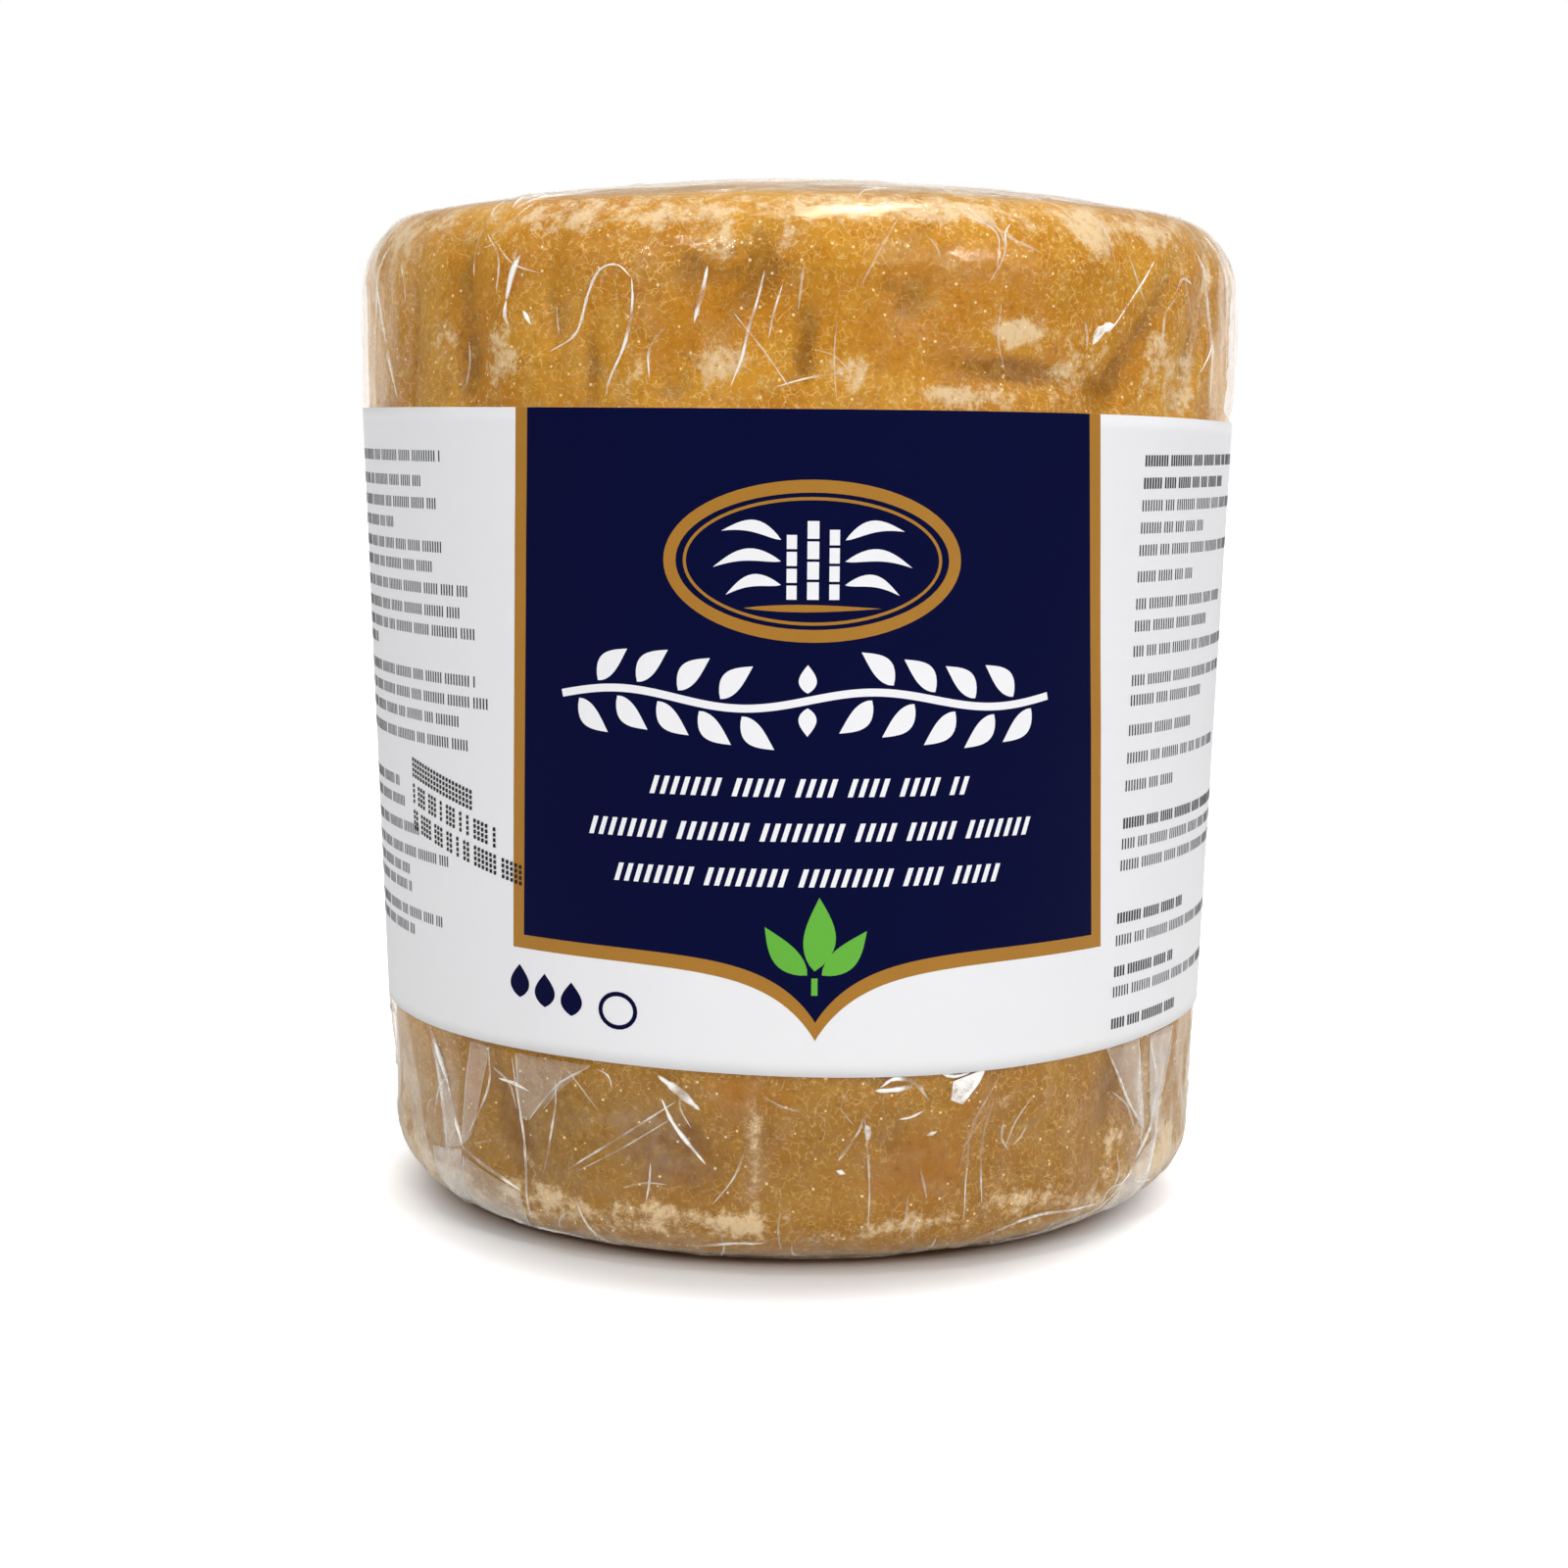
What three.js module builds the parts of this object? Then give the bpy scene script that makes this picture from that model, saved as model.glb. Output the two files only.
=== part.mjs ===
// A cast block of jaggery, unrefined cane sugar, in a shrunk clear film with a paper band round it.
// The block is a round, slightly tapered loaf: wider at the top, with a low domed top, a soft shoulder and a
// bent foot that ends in a flat base. The paper band lies in the shallow waist that it presses into the film.
// Units are millimetres, +Z is up, the base rests on Z = 0 and the front of the band faces -Y.

import * as THREE from "three";

// Driving dimensions of the loaf
const BASE_FLAT_RADIUS = 37.5;
const FOOT_RADIUS = 45.05;
const FOOT_HEIGHT = 7;
const BODY_RADIUS = 47.5;
const WIDEST_HEIGHT = 88;
const SHOULDER_BEND = 7.5;
const SHOULDER_HEIGHT = 97;
const DOME_EDGE_SLOPE = THREE.MathUtils.degToRad(11);

// The paper band: where it lies, how thick it is, and how much it stands proud of the film
const BAND_BOTTOM = 20.6;
const BAND_TOP = 84.3;
const BAND_THICKNESS = 0.45;
const BAND_PROUD = 0.1;
const BAND_GAP = 0.3;
const BAND_EDGE_BLEND = 1.2;
const BAND_TOP_DIP = 0.9;
const BAND_DIP_BELOW = 8;
const BAND_DIP_AZIMUTH = THREE.MathUtils.degToRad(85);
const BAND_DIP_REACH = THREE.MathUtils.degToRad(40);

// How finely the round forms are cut
const COLUMNS = 120;
const ROW_STEP = 2.6;
const HIDDEN_ROW_STEP = 11;
const FOOT_ROWS = 5;
const SHOULDER_ROWS = 6;
const DOME_ROWS = 9;

// The cast lumps all over the loaf: how deep the hollows between them are, and how wide in millimetres
const LUMP_DEPTH = 0.75;
const LUMP_WIDTH = 7.5;

// The pleats that the film gathers into round the foot
const PLEAT_DEPTH = 0.55;
const PLEATS = 21;
const PLEAT_TOP = 17;

// The deeper furrows that the cast sugar shows, each with the azimuth and height of its middle, half its
// length and width, how far it leans from upright, and its depth. Azimuth runs from the front towards +X.
const FURROWS = [
  { azimuth: -46, height: 95, long: 10, wide: 2.6, lean: 3, deep: 0.9 },
  { azimuth: -29, height: 92, long: 9, wide: 2.4, lean: -4, deep: 1.1 },
  { azimuth: -19, height: 88, long: 8, wide: 2.2, lean: 5, deep: 0.9 },
  { azimuth: -6, height: 96, long: 7, wide: 4.5, lean: 30, deep: 0.9 },
  { azimuth: 9, height: 96, long: 11, wide: 2.6, lean: 38, deep: 1.1 },
  { azimuth: 24, height: 88.5, long: 3, wide: 6.5, lean: 8, deep: 1.5 },
  { azimuth: 41, height: 91, long: 10, wide: 2.0, lean: 42, deep: 1.2 },
  { azimuth: 49, height: 89, long: 9, wide: 1.9, lean: 40, deep: 1.1 },
  { azimuth: -40, height: 12, long: 9, wide: 3.2, lean: -24, deep: 1.0 },
  { azimuth: -17, height: 12, long: 5, wide: 6.5, lean: 20, deep: 1.1 },
  { azimuth: 15, height: 14, long: 6, wide: 4.5, lean: -15, deep: 0.8 },
  { azimuth: 47, height: 13, long: 9, wide: 2.8, lean: 12, deep: 0.9 },
];
const BACK_TURN = 168;
const BACK_LONG = 0.85;

// Turns a lathed form, which three.js makes about Y, so that its axis is Z and azimuth 0 faces -Y.
function upright(geometry) {
  return geometry.rotateX(Math.PI / 2);
}

function smoothstep(low, high, value) {
  const t = THREE.MathUtils.clamp((value - low) / (high - low), 0, 1);
  return t * t * (3 - 2 * t);
}

// Radius of the side at a height, straight from the foot to the widest height
function sideRadius(height) {
  const share = (height - FOOT_HEIGHT) / (WIDEST_HEIGHT - FOOT_HEIGHT);
  return THREE.MathUtils.lerp(FOOT_RADIUS, BODY_RADIUS, Math.min(share, 1));
}

// 1 where the paper band covers the side, 0 where the film shows
function underBand(height) {
  return (
    smoothstep(BAND_BOTTOM - BAND_EDGE_BLEND, BAND_BOTTOM, height) *
    (1 - smoothstep(BAND_TOP, BAND_TOP + BAND_EDGE_BLEND, height))
  );
}

function heightSteps(from, to, step) {
  const count = Math.max(1, Math.round((to - from) / step));
  return Array.from({ length: count }, (_, i) => from + ((to - from) * i) / count);
}

function loafProfile() {
  const waist = BAND_THICKNESS + BAND_GAP - BAND_PROUD;
  const points = [new THREE.Vector2(0, 0)];
  for (let i = 0; i < FOOT_ROWS; i++) {
    const turn = ((Math.PI / 2) * i) / FOOT_ROWS;
    points.push(
      new THREE.Vector2(
        BASE_FLAT_RADIUS + (FOOT_RADIUS - BASE_FLAT_RADIUS) * Math.sin(turn),
        FOOT_HEIGHT * (1 - Math.cos(turn)),
      ),
    );
  }
  const heights = [
    ...heightSteps(FOOT_HEIGHT, BAND_BOTTOM - BAND_EDGE_BLEND, ROW_STEP),
    ...heightSteps(BAND_BOTTOM - BAND_EDGE_BLEND, BAND_BOTTOM, BAND_EDGE_BLEND),
    ...heightSteps(BAND_BOTTOM, BAND_TOP, HIDDEN_ROW_STEP),
    ...heightSteps(BAND_TOP, BAND_TOP + BAND_EDGE_BLEND, BAND_EDGE_BLEND),
    ...heightSteps(BAND_TOP + BAND_EDGE_BLEND, SHOULDER_HEIGHT, ROW_STEP),
  ];
  for (const height of heights) {
    points.push(new THREE.Vector2(sideRadius(height) - waist * underBand(height), height));
  }
  const bendCentre = BODY_RADIUS - SHOULDER_BEND;
  const bendEnd = Math.PI / 2 - DOME_EDGE_SLOPE;
  for (let i = 0; i < SHOULDER_ROWS; i++) {
    const turn = (bendEnd * i) / SHOULDER_ROWS;
    points.push(
      new THREE.Vector2(
        bendCentre + SHOULDER_BEND * Math.cos(turn),
        SHOULDER_HEIGHT + SHOULDER_BEND * Math.sin(turn),
      ),
    );
  }
  const domeEdge = bendCentre + SHOULDER_BEND * Math.cos(bendEnd);
  const domeRadius = domeEdge / Math.sin(DOME_EDGE_SLOPE);
  const domeFoot = SHOULDER_HEIGHT + SHOULDER_BEND * Math.sin(bendEnd);
  for (let i = 0; i <= DOME_ROWS; i++) {
    const turn = DOME_EDGE_SLOPE * (1 - i / DOME_ROWS);
    points.push(
      new THREE.Vector2(
        domeRadius * Math.sin(turn),
        domeFoot + domeRadius * (Math.cos(turn) - Math.cos(DOME_EDGE_SLOPE)),
      ),
    );
  }
  points[points.length - 1].x = 0;
  return points;
}

// Hollows between the cast lumps, from 0 to 1. The sines run across the loaf in directions that never line up.
function lumps(x, y, z) {
  const w = LUMP_WIDTH;
  const broad =
    Math.sin((x + 0.6 * z) / w + 1.3) * Math.sin((y - 0.5 * z) / (1.1 * w) + 0.4) +
    Math.sin((0.8 * x - 0.7 * y) / (0.8 * w) + 2.1) * Math.sin((z + 0.3 * x) / (0.9 * w));
  const fine = Math.sin((x - y + z) / (0.45 * w)) * Math.sin((x + y - 0.8 * z) / (0.5 * w) + 0.9);
  return THREE.MathUtils.clamp(0.5 + 0.22 * broad + 0.12 * fine, 0, 1);
}

// Depth of one furrow at an azimuth and height: a soft trough, longest along its own lean
function furrow({ azimuth, height, long, wide, lean, deep }, atAzimuth, atHeight) {
  const turn = THREE.MathUtils.euclideanModulo(atAzimuth - azimuth + 180, 360) - 180;
  const across = THREE.MathUtils.degToRad(turn) * BODY_RADIUS;
  const up = atHeight - height;
  const tilt = THREE.MathUtils.degToRad(lean);
  const along = up * Math.cos(tilt) + across * Math.sin(tilt);
  const aside = across * Math.cos(tilt) - up * Math.sin(tilt);
  return deep * Math.exp(-((along / long) ** 2) - (aside / wide) ** 2);
}

// The back has the same kind of furrows as the front, turned round and a little shorter.
const backFurrows = FURROWS.map((f) => ({
  ...f,
  azimuth: f.azimuth + BACK_TURN,
  long: f.long * BACK_LONG,
  lean: -f.lean,
}));

function furrows(azimuth, height) {
  return [...FURROWS, ...backFurrows].reduce((depth, f) => depth + furrow(f, azimuth, height), 0);
}

// Valleys between the film's pleats, sharp at each crest and widest just above the base
function pleats(azimuth, height) {
  const turn = THREE.MathUtils.degToRad(azimuth);
  const phase = (PLEATS * turn) / 2 + 0.9 * Math.sin(3 * turn) + 0.5 * Math.sin(5 * turn + 1);
  const reach = smoothstep(0, 2.5, height) * (1 - smoothstep(5, PLEAT_TOP, height));
  return Math.abs(Math.sin(phase)) * reach;
}

// How far the wrapped surface lies inside the smooth loaf at a point on it
function reliefDepth(x, y, z) {
  const azimuth = THREE.MathUtils.radToDeg(Math.atan2(x, -y));
  const aboveBase = smoothstep(0, 3, z);
  const shown = 1 - underBand(z);
  const sideOnly = 1 - smoothstep(SHOULDER_HEIGHT, SHOULDER_HEIGHT + SHOULDER_BEND, z);
  const depth =
    LUMP_DEPTH * lumps(x, y, z) + sideOnly * furrows(azimuth, z) + PLEAT_DEPTH * pleats(azimuth, z);
  return depth * shown * aboveBase;
}

function wrappedBlock() {
  const geometry = upright(new THREE.LatheGeometry(loafProfile(), COLUMNS));
  const { position, normal } = geometry.attributes;
  const point = new THREE.Vector3();
  const outward = new THREE.Vector3();
  for (let i = 0; i < position.count; i++) {
    point.fromBufferAttribute(position, i);
    outward.fromBufferAttribute(normal, i);
    const onAxis = Math.hypot(point.x, point.y) < 1e-6;
    if (onAxis) outward.set(0, 0, Math.sign(point.z));
    point.addScaledVector(outward, -reliefDepth(point.x, point.y, point.z));
    position.setXYZ(i, point.x, point.y, point.z);
  }
  const film = new THREE.MeshStandardMaterial({ color: 0xc79142, roughness: 0.22, metalness: 0 });
  const mesh = new THREE.Mesh(geometry, film);
  mesh.name = "wrapped_block";
  return mesh;
}

// The band's wall as a closed outline: up its outer face and down its inner one
function bandProfile() {
  const heights = [BAND_BOTTOM, BAND_TOP - BAND_DIP_BELOW, BAND_TOP];
  const outer = heights.map((h) => new THREE.Vector2(sideRadius(h) + BAND_PROUD, h));
  const inner = heights.map((h) => new THREE.Vector2(sideRadius(h) + BAND_PROUD - BAND_THICKNESS, h));
  return [...outer, ...inner.reverse(), outer[0].clone()];
}

// The band's top edge dips where the paper was wrapped a little low.
function paperBand() {
  const geometry = upright(new THREE.LatheGeometry(bandProfile(), COLUMNS));
  const { position } = geometry.attributes;
  for (let i = 0; i < position.count; i++) {
    const z = position.getZ(i);
    const azimuth = Math.atan2(position.getX(i), -position.getY(i));
    const dip = Math.exp(-(((azimuth - BAND_DIP_AZIMUTH) / BAND_DIP_REACH) ** 2));
    const share = smoothstep(BAND_TOP - BAND_DIP_BELOW, BAND_TOP, z);
    position.setZ(i, z - BAND_TOP_DIP * dip * share);
  }
  const paper = new THREE.MeshStandardMaterial({ color: 0xe9e9ec, roughness: 0.55, metalness: 0 });
  const mesh = new THREE.Mesh(geometry, paper);
  mesh.name = "paper_band";
  return mesh;
}

const jaggeryBlock = new THREE.Group();
jaggeryBlock.add(wrappedBlock(), paperBand());

export default jaggeryBlock;
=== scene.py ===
"""A block of jaggery in clear shrunk film, with a printed paper band round its middle.

Lengths are in millimetres and are turned into metres where a mesh is made. A place on the block is given
by its azimuth, in degrees from the front towards the right, and by its level, which is the height on the
straight side and runs on over the shoulder to the middle of the top, and under the foot to that of the base.
"""

import math

import bpy
import numpy as np
from mathutils import Matrix, Vector
from mathutils.kdtree import KDTree


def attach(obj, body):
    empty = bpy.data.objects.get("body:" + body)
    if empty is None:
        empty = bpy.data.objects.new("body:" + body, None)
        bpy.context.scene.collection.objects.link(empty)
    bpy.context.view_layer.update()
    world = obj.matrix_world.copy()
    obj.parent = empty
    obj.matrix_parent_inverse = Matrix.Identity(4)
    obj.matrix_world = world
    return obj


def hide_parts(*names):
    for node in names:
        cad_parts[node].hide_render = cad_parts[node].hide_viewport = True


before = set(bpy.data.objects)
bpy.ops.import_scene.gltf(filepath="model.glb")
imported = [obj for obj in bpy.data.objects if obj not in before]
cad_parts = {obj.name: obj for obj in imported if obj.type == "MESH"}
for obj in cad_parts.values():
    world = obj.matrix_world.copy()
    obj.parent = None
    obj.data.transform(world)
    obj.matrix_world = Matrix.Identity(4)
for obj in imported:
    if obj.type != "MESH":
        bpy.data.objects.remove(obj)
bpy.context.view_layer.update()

scene = bpy.context.scene

# The camera stands close in front of the block, just below the height of its top, and looks a little down.
# It leans over by under half a degree, as the one who took the photograph held it.
MM = 0.001
CAMERA_AWAY = 287.6
CAMERA_ASIDE = -1.16
CAMERA_HEIGHT = 82.5
CAMERA_DOWN = math.radians(7.87)
CAMERA_LEAN = math.radians(0.45)
SENSOR = 36
LENS = 59.15

camera_data = bpy.data.cameras.new("camera")
camera_data.sensor_width = SENSOR
camera_data.lens = LENS
camera_data.clip_start = 0.01
camera = bpy.data.objects.new("camera", camera_data)
scene.collection.objects.link(camera)
camera.matrix_world = (
    Matrix.Translation((CAMERA_ASIDE * MM, -CAMERA_AWAY * MM, CAMERA_HEIGHT * MM))
    @ Matrix.Rotation(math.radians(90) - CAMERA_DOWN, 4, "X")
    @ Matrix.Rotation(CAMERA_LEAN, 4, "Z")
)
scene.camera = camera

# The block itself is cane juice boiled down and cast in a round mould that is a little wider at its mouth.
# It is waxy, slightly see-through and ochre to amber, with pale crystal crusts and flecks. The lumps, the
# furrows and crags of the cast surface are modelled, and the grain finer than that is in the material.
BASE_FLAT_RADIUS = 37.5
FOOT_RADIUS = 45.05
FOOT_HEIGHT = 7
BODY_RADIUS = 47.5
WIDEST_HEIGHT = 88
SHOULDER_BEND = 7.5
SHOULDER_HEIGHT = 97
DOME_EDGE_SLOPE = math.radians(11)
BAND_BOTTOM = 20.6
BAND_TOP = 84.3
COLUMNS = 620
FINE_STEP = 0.5
HIDDEN_STEP = 12
LUMP_DEPTH = 0.95
LUMP_WIDTH = 7.5
FURROW_DEPTH = 1.25
FILM_GAP = 0.2
PROUD = 0.3
TAUT_FILL = 0.72

# Each furrow or patch: azimuth, level, half its length and its width, lean from upright in degrees, strength
# The furrows are cut into the block, and their hollows are also darkened in its colour as painted shade.
FURROWS = [
    (-44, 88, 4.5, 2.6, 4, 0.9), (-44.5, 97, 6, 2.2, 3, 0.6), (-30, 94, 8, 1.8, -4, 0.6),
    (-25, 88, 5, 1.2, 2, 0.8), (-15, 87, 4, 2.0, 8, 0.5), (-13, 97.5, 2.6, 2.6, 10, 0.7),
    (-6, 96, 7, 3.0, 30, 0.5), (0.7, 89.5, 3.4, 0.9, 4, 0.7), (12.5, 94.5, 3.2, 2.6, 10, 0.8),
    (15.5, 101.5, 4, 0.9, 42, 0.8), (26, 88.0, 1.5, 8.5, 4, 1.3), (38, 87, 3, 1.4, 35, 0.6),
    (46, 92, 10, 1.6, 42, 0.8), (41, 87.5, 4, 1.0, 20, 0.5), (57, 90, 9, 1.8, 30, 0.9),
    (-56, 92, 9, 1.4, 6, 0.7), (-40, 12, 9, 3.2, -24, 1.0), (-17, 12, 5, 6.5, 20, 1.1),
    (15, 14, 6, 4.5, -15, 0.45), (47, 13, 9, 2.8, 12, 0.5),
]
CRUSTS = [
    (-48, 91.5, 2.2, 3.2, 0, 0.7), (-37.5, 88.5, 3.5, 3.0, -4, 0.75), (-20, 87.5, 3, 2.6, -4, 0.5),
    (-9.5, 99.5, 2.2, 1.7, 20, 0.9), (-15, 103, 2.5, 4.5, 0, 0.45), (-9, 88.5, 3.0, 4.0, -20, 0.9),
    (-2, 99.5, 4, 1.0, 10, 0.7), (26.5, 91.6, 1.6, 3.2, 0, 1.3), (19, 85.6, 1.3, 5.5, 0, 1.1),
    (6, 88, 2.6, 3.0, 20, 0.7), (34, 88, 4, 2.5, 40, 0.6), (48, 88.5, 4.5, 1.8, 30, 0.75),
    (54, 87, 4, 3.5, 20, 0.6), (38, 102, 3.5, 2.4, 10, 0.85), (52, 101, 3, 5, 30, 0.65),
    (63, 98.3, 3.5, 1.6, 35, 1.2), (-30, 102.5, 2.0, 9, 0, 0.45), (12, 104, 2.0, 12, 0, 0.55),
    (-60, 100, 4, 6, 0, 0.7), (-4.8, 12.5, 7.5, 0.8, 0, 0.75), (-7, 4.8, 1.4, 2.4, -8, 1.05),
    (14, 4.6, 1.4, 7, -8, 0.5), (32, 6.7, 1.6, 3, 10, 0.6), (28.2, 16.7, 0.8, 1.0, 0, 1.0),
    (-15.5, 5.6, 2.0, 6, 0, 0.35), (47.8, 9, 3, 1.6, 20, 0.7), (-30, 5, 3, 6, 0, 0.4),
    (-60, 4, 3, 9, 0, 0.7), (60, 5, 4, 9, 0, 0.7),
]
AMBERS = [
    (-44, 95, 7, 4.5, 0, 0.9), (-42, 88, 4, 3, 0, 0.6), (-34, 97, 3, 6, 0, 0.5), (-8, 95.5, 5, 5.5, 0, 0.9),
    (-13, 91, 4, 3.5, 10, 0.7), (3, 93, 6, 4, 10, 0.6), (16, 95.5, 5.5, 6.5, 0, 1.0),
    (9.5, 90, 2.5, 2.6, 20, 0.9), (26, 95, 4, 4, 0, 0.6), (22, 88, 1.5, 7, 0, 1.1), (58, 95, 5, 3, 10, 0.8),
    (46, 90, 6, 2.5, 40, 0.8), (-47.5, 16, 5, 1.8, 6, 0.9), (-40, 12, 4, 3, 0, 0.4),
    (17.5, 11, 4, 4, 0, 0.9), (8, 9, 3, 6, 0, 0.5), (-8, 18, 2.5, 3, 0, 0.8), (0, 18, 2, 5, 0, 0.5),
    (24, 17, 3, 4, 0, 0.6),
]
BACK_TURN = 168


def smoothstep(low, high, value):
    share = np.clip((value - low) / (high - low), 0, 1)
    return share * share * (3 - 2 * share)


def window(start, full, fade, end, value):
    """1 between full and fade and 0 beyond start and end, with a soft run between"""
    return smoothstep(start, full, value) * (1 - smoothstep(fade, end, value))


def turn_from(middle, azimuth):
    """Degrees from one azimuth to another, the short way round"""
    return (azimuth - middle + 180) % 360 - 180


def side_radius(height):
    share = np.clip((height - FOOT_HEIGHT) / (WIDEST_HEIGHT - FOOT_HEIGHT), 0, 1)
    return FOOT_RADIUS + (BODY_RADIUS - FOOT_RADIUS) * share


def loaf_outline():
    """Radius and height along the smooth loaf, from the middle of the base to the middle of the top"""
    turn = np.linspace(0, math.pi / 2, 30)
    foot_radius = BASE_FLAT_RADIUS + (FOOT_RADIUS - BASE_FLAT_RADIUS) * np.sin(turn)
    foot_height = FOOT_HEIGHT * (1 - np.cos(turn))
    side_height = np.linspace(FOOT_HEIGHT, SHOULDER_HEIGHT, 100)[1:]
    turn = np.linspace(0, math.pi / 2 - DOME_EDGE_SLOPE, 30)[1:]
    bend_radius = BODY_RADIUS - SHOULDER_BEND + SHOULDER_BEND * np.cos(turn)
    bend_height = SHOULDER_HEIGHT + SHOULDER_BEND * np.sin(turn)
    dome_curve = bend_radius[-1] / math.sin(DOME_EDGE_SLOPE)
    turn = np.linspace(DOME_EDGE_SLOPE, 0, 60)[1:]
    dome_radius = dome_curve * np.sin(turn)
    dome_height = bend_height[-1] + dome_curve * (np.cos(turn) - math.cos(DOME_EDGE_SLOPE))
    radius = np.concatenate([[0], foot_radius, side_radius(side_height), bend_radius, dome_radius])
    height = np.concatenate([[0], foot_height, side_height, bend_height, dome_height])
    return radius, height


outline_radius, outline_height = loaf_outline()
outline_steps = np.hypot(np.diff(outline_radius), np.diff(outline_height))
outline_level = np.concatenate([[0], np.cumsum(outline_steps)])
at_band = int(np.argmin(np.abs(outline_height - BAND_BOTTOM)))
outline_level += outline_height[at_band] - outline_level[at_band]
BASE_LEVEL = outline_level[0]
TOP_LEVEL = outline_level[-1]
DOME_LEVEL = SHOULDER_HEIGHT + SHOULDER_BEND * (math.pi / 2 - DOME_EDGE_SLOPE)
slope_radius = np.gradient(outline_radius, outline_level)
slope_height = np.gradient(outline_height, outline_level)


def radius_at(level):
    return np.interp(level, outline_level, outline_radius)


def surface(azimuth, level, outward=0.0):
    """Points that lie outward of the smooth loaf by a distance along its normal"""
    turn = np.radians(azimuth)
    height = np.interp(level, outline_level, outline_height)
    radius = radius_at(level) + outward * np.interp(level, outline_level, slope_height)
    height = height - outward * np.interp(level, outline_level, slope_radius)
    return np.stack([radius * np.sin(turn), -radius * np.cos(turn), height], axis=-1)


def spots(places, azimuth, level):
    """The sum of soft oval spots at their places on the front, and once more on the back"""
    total = np.zeros(np.broadcast(azimuth, level).shape)
    for turned in (0, BACK_TURN):
        for spot_azimuth, spot_level, long, wide, lean, strength in places:
            across = np.radians(turn_from(spot_azimuth + turned, azimuth)) * radius_at(level)
            up = level - spot_level
            tilt = math.radians(lean if turned == 0 else -lean)
            along = up * math.cos(tilt) + across * math.sin(tilt)
            aside = across * math.cos(tilt) - up * math.sin(tilt)
            total += strength * np.exp(-((along / long) ** 2) - (aside / wide) ** 2)
    return total


def soft_noise(points, size, seed):
    """Smooth noise from 0 to 1 whose bumps are about size across"""
    grid = np.asarray(points) / size
    cell = np.floor(grid).astype(np.int64)
    share = grid - cell
    share = share * share * (3 - 2 * share)
    total = np.zeros(grid.shape[:-1])
    for corner in np.ndindex(2, 2, 2):
        key = cell + corner
        mixed = key[..., 0] * 73856093 ^ key[..., 1] * 19349663 ^ key[..., 2] * 83492791
        mixed = mixed ^ seed * 2654435761
        mixed = (mixed ^ (mixed >> 13)) * 1274126177
        value = ((mixed ^ (mixed >> 16)) & 0xFFFF) / 0xFFFF
        total += value * np.prod(np.where(corner, share, 1 - share), axis=-1)
    return total


def lumps(points):
    """Hollows between the cast lumps, from 0 to 1"""
    x, y, z = points[..., 0], points[..., 1], points[..., 2]
    w = LUMP_WIDTH
    broad = np.sin((x + 0.6 * z) / w + 1.3) * np.sin((y - 0.5 * z) / (1.1 * w) + 0.4)
    broad += np.sin((0.8 * x - 0.7 * y) / (0.8 * w) + 2.1) * np.sin((z + 0.3 * x) / (0.9 * w))
    fine = np.sin((x - y + z) / (0.45 * w)) * np.sin((x + y - 0.8 * z) / (0.5 * w) + 0.9)
    return np.clip(0.5 + 0.22 * broad + 0.12 * fine, 0, 1)


def crags(points, level):
    """The finer breaks of the cast surface: crusty bumps, upright streaks from the mould, and small pits"""
    crusty = 0.30 * soft_noise(points, 4.2, 3) + 0.18 * soft_noise(points, 1.9, 4)
    crusty += 0.12 * soft_noise(points, 1.0, 5)
    unrolled = np.stack([points[..., 0], points[..., 1], level / 6], axis=-1)
    streaks = np.abs(soft_noise(unrolled, 2.6, 6) - 0.5)
    pits = smoothstep(0.80, 0.92, soft_noise(points, 1.5, 7))
    return crusty + 0.5 * streaks * (level > FOOT_HEIGHT) * (level < SHOULDER_HEIGHT) + 0.3 * pits


def under_band(level):
    """1 where the paper band covers the side, 0 where the film shows"""
    return window(BAND_BOTTOM - 0.4, BAND_BOTTOM + 0.8, BAND_TOP - 0.8, BAND_TOP + 0.4, level)


def growing_levels(start, end, first_step, last_step):
    """Levels from start up to, not including, end, with steps that grow or shrink evenly"""
    count = max(1, round(2 * (end - start) / (first_step + last_step)))
    share = np.arange(count) / count
    growth = (last_step - first_step) / (first_step + last_step)
    return start + (end - start) * (share * (1 - growth) + share**2 * growth)


grid_levels = np.concatenate(
    [
        growing_levels(BASE_LEVEL, -5, 9, 3),
        growing_levels(-5, BAND_BOTTOM + 1.5, FINE_STEP, FINE_STEP),
        growing_levels(BAND_BOTTOM + 1.5, BAND_TOP - 2, HIDDEN_STEP, HIDDEN_STEP),
        growing_levels(BAND_TOP - 2, DOME_LEVEL + 1, FINE_STEP, FINE_STEP),
        growing_levels(DOME_LEVEL + 1, TOP_LEVEL, 0.6, 1.8),
        [TOP_LEVEL],
    ]
)
grid_azimuths = 360 * np.arange(COLUMNS) / COLUMNS
azimuth_grid, level_grid = np.meshgrid(grid_azimuths, grid_levels)
loaf_points = surface(azimuth_grid, level_grid)
shown = 1 - under_band(level_grid)
above_base = smoothstep(-4.5, 0, level_grid)
side_only = 1 - smoothstep(SHOULDER_HEIGHT + 1, DOME_LEVEL, level_grid)

furrow_depth = spots(FURROWS, azimuth_grid, level_grid) * side_only
lump_share = lumps(loaf_points)
lump_depth = LUMP_DEPTH * lump_share
crag_depth = crags(loaf_points, level_grid)
taut = (1 - smoothstep(0, 9, level_grid)) * above_base + smoothstep(99, 106, level_grid)
relief_depth = (lump_depth + FURROW_DEPTH * furrow_depth + crag_depth) * above_base * shown
proud = PROUD * smoothstep(-2, 3, level_grid) * shown
block_depth = FILM_GAP * (1 - TAUT_FILL * taut) + relief_depth * (1 - 0.5 * taut) - proud


def new_piece(name, points, faces):
    mesh = bpy.data.meshes.new(name)
    mesh.from_pydata(points, [], faces)
    mesh.shade_smooth()
    piece = bpy.data.objects.new(name, mesh)
    scene.collection.objects.link(piece)
    return piece


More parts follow.
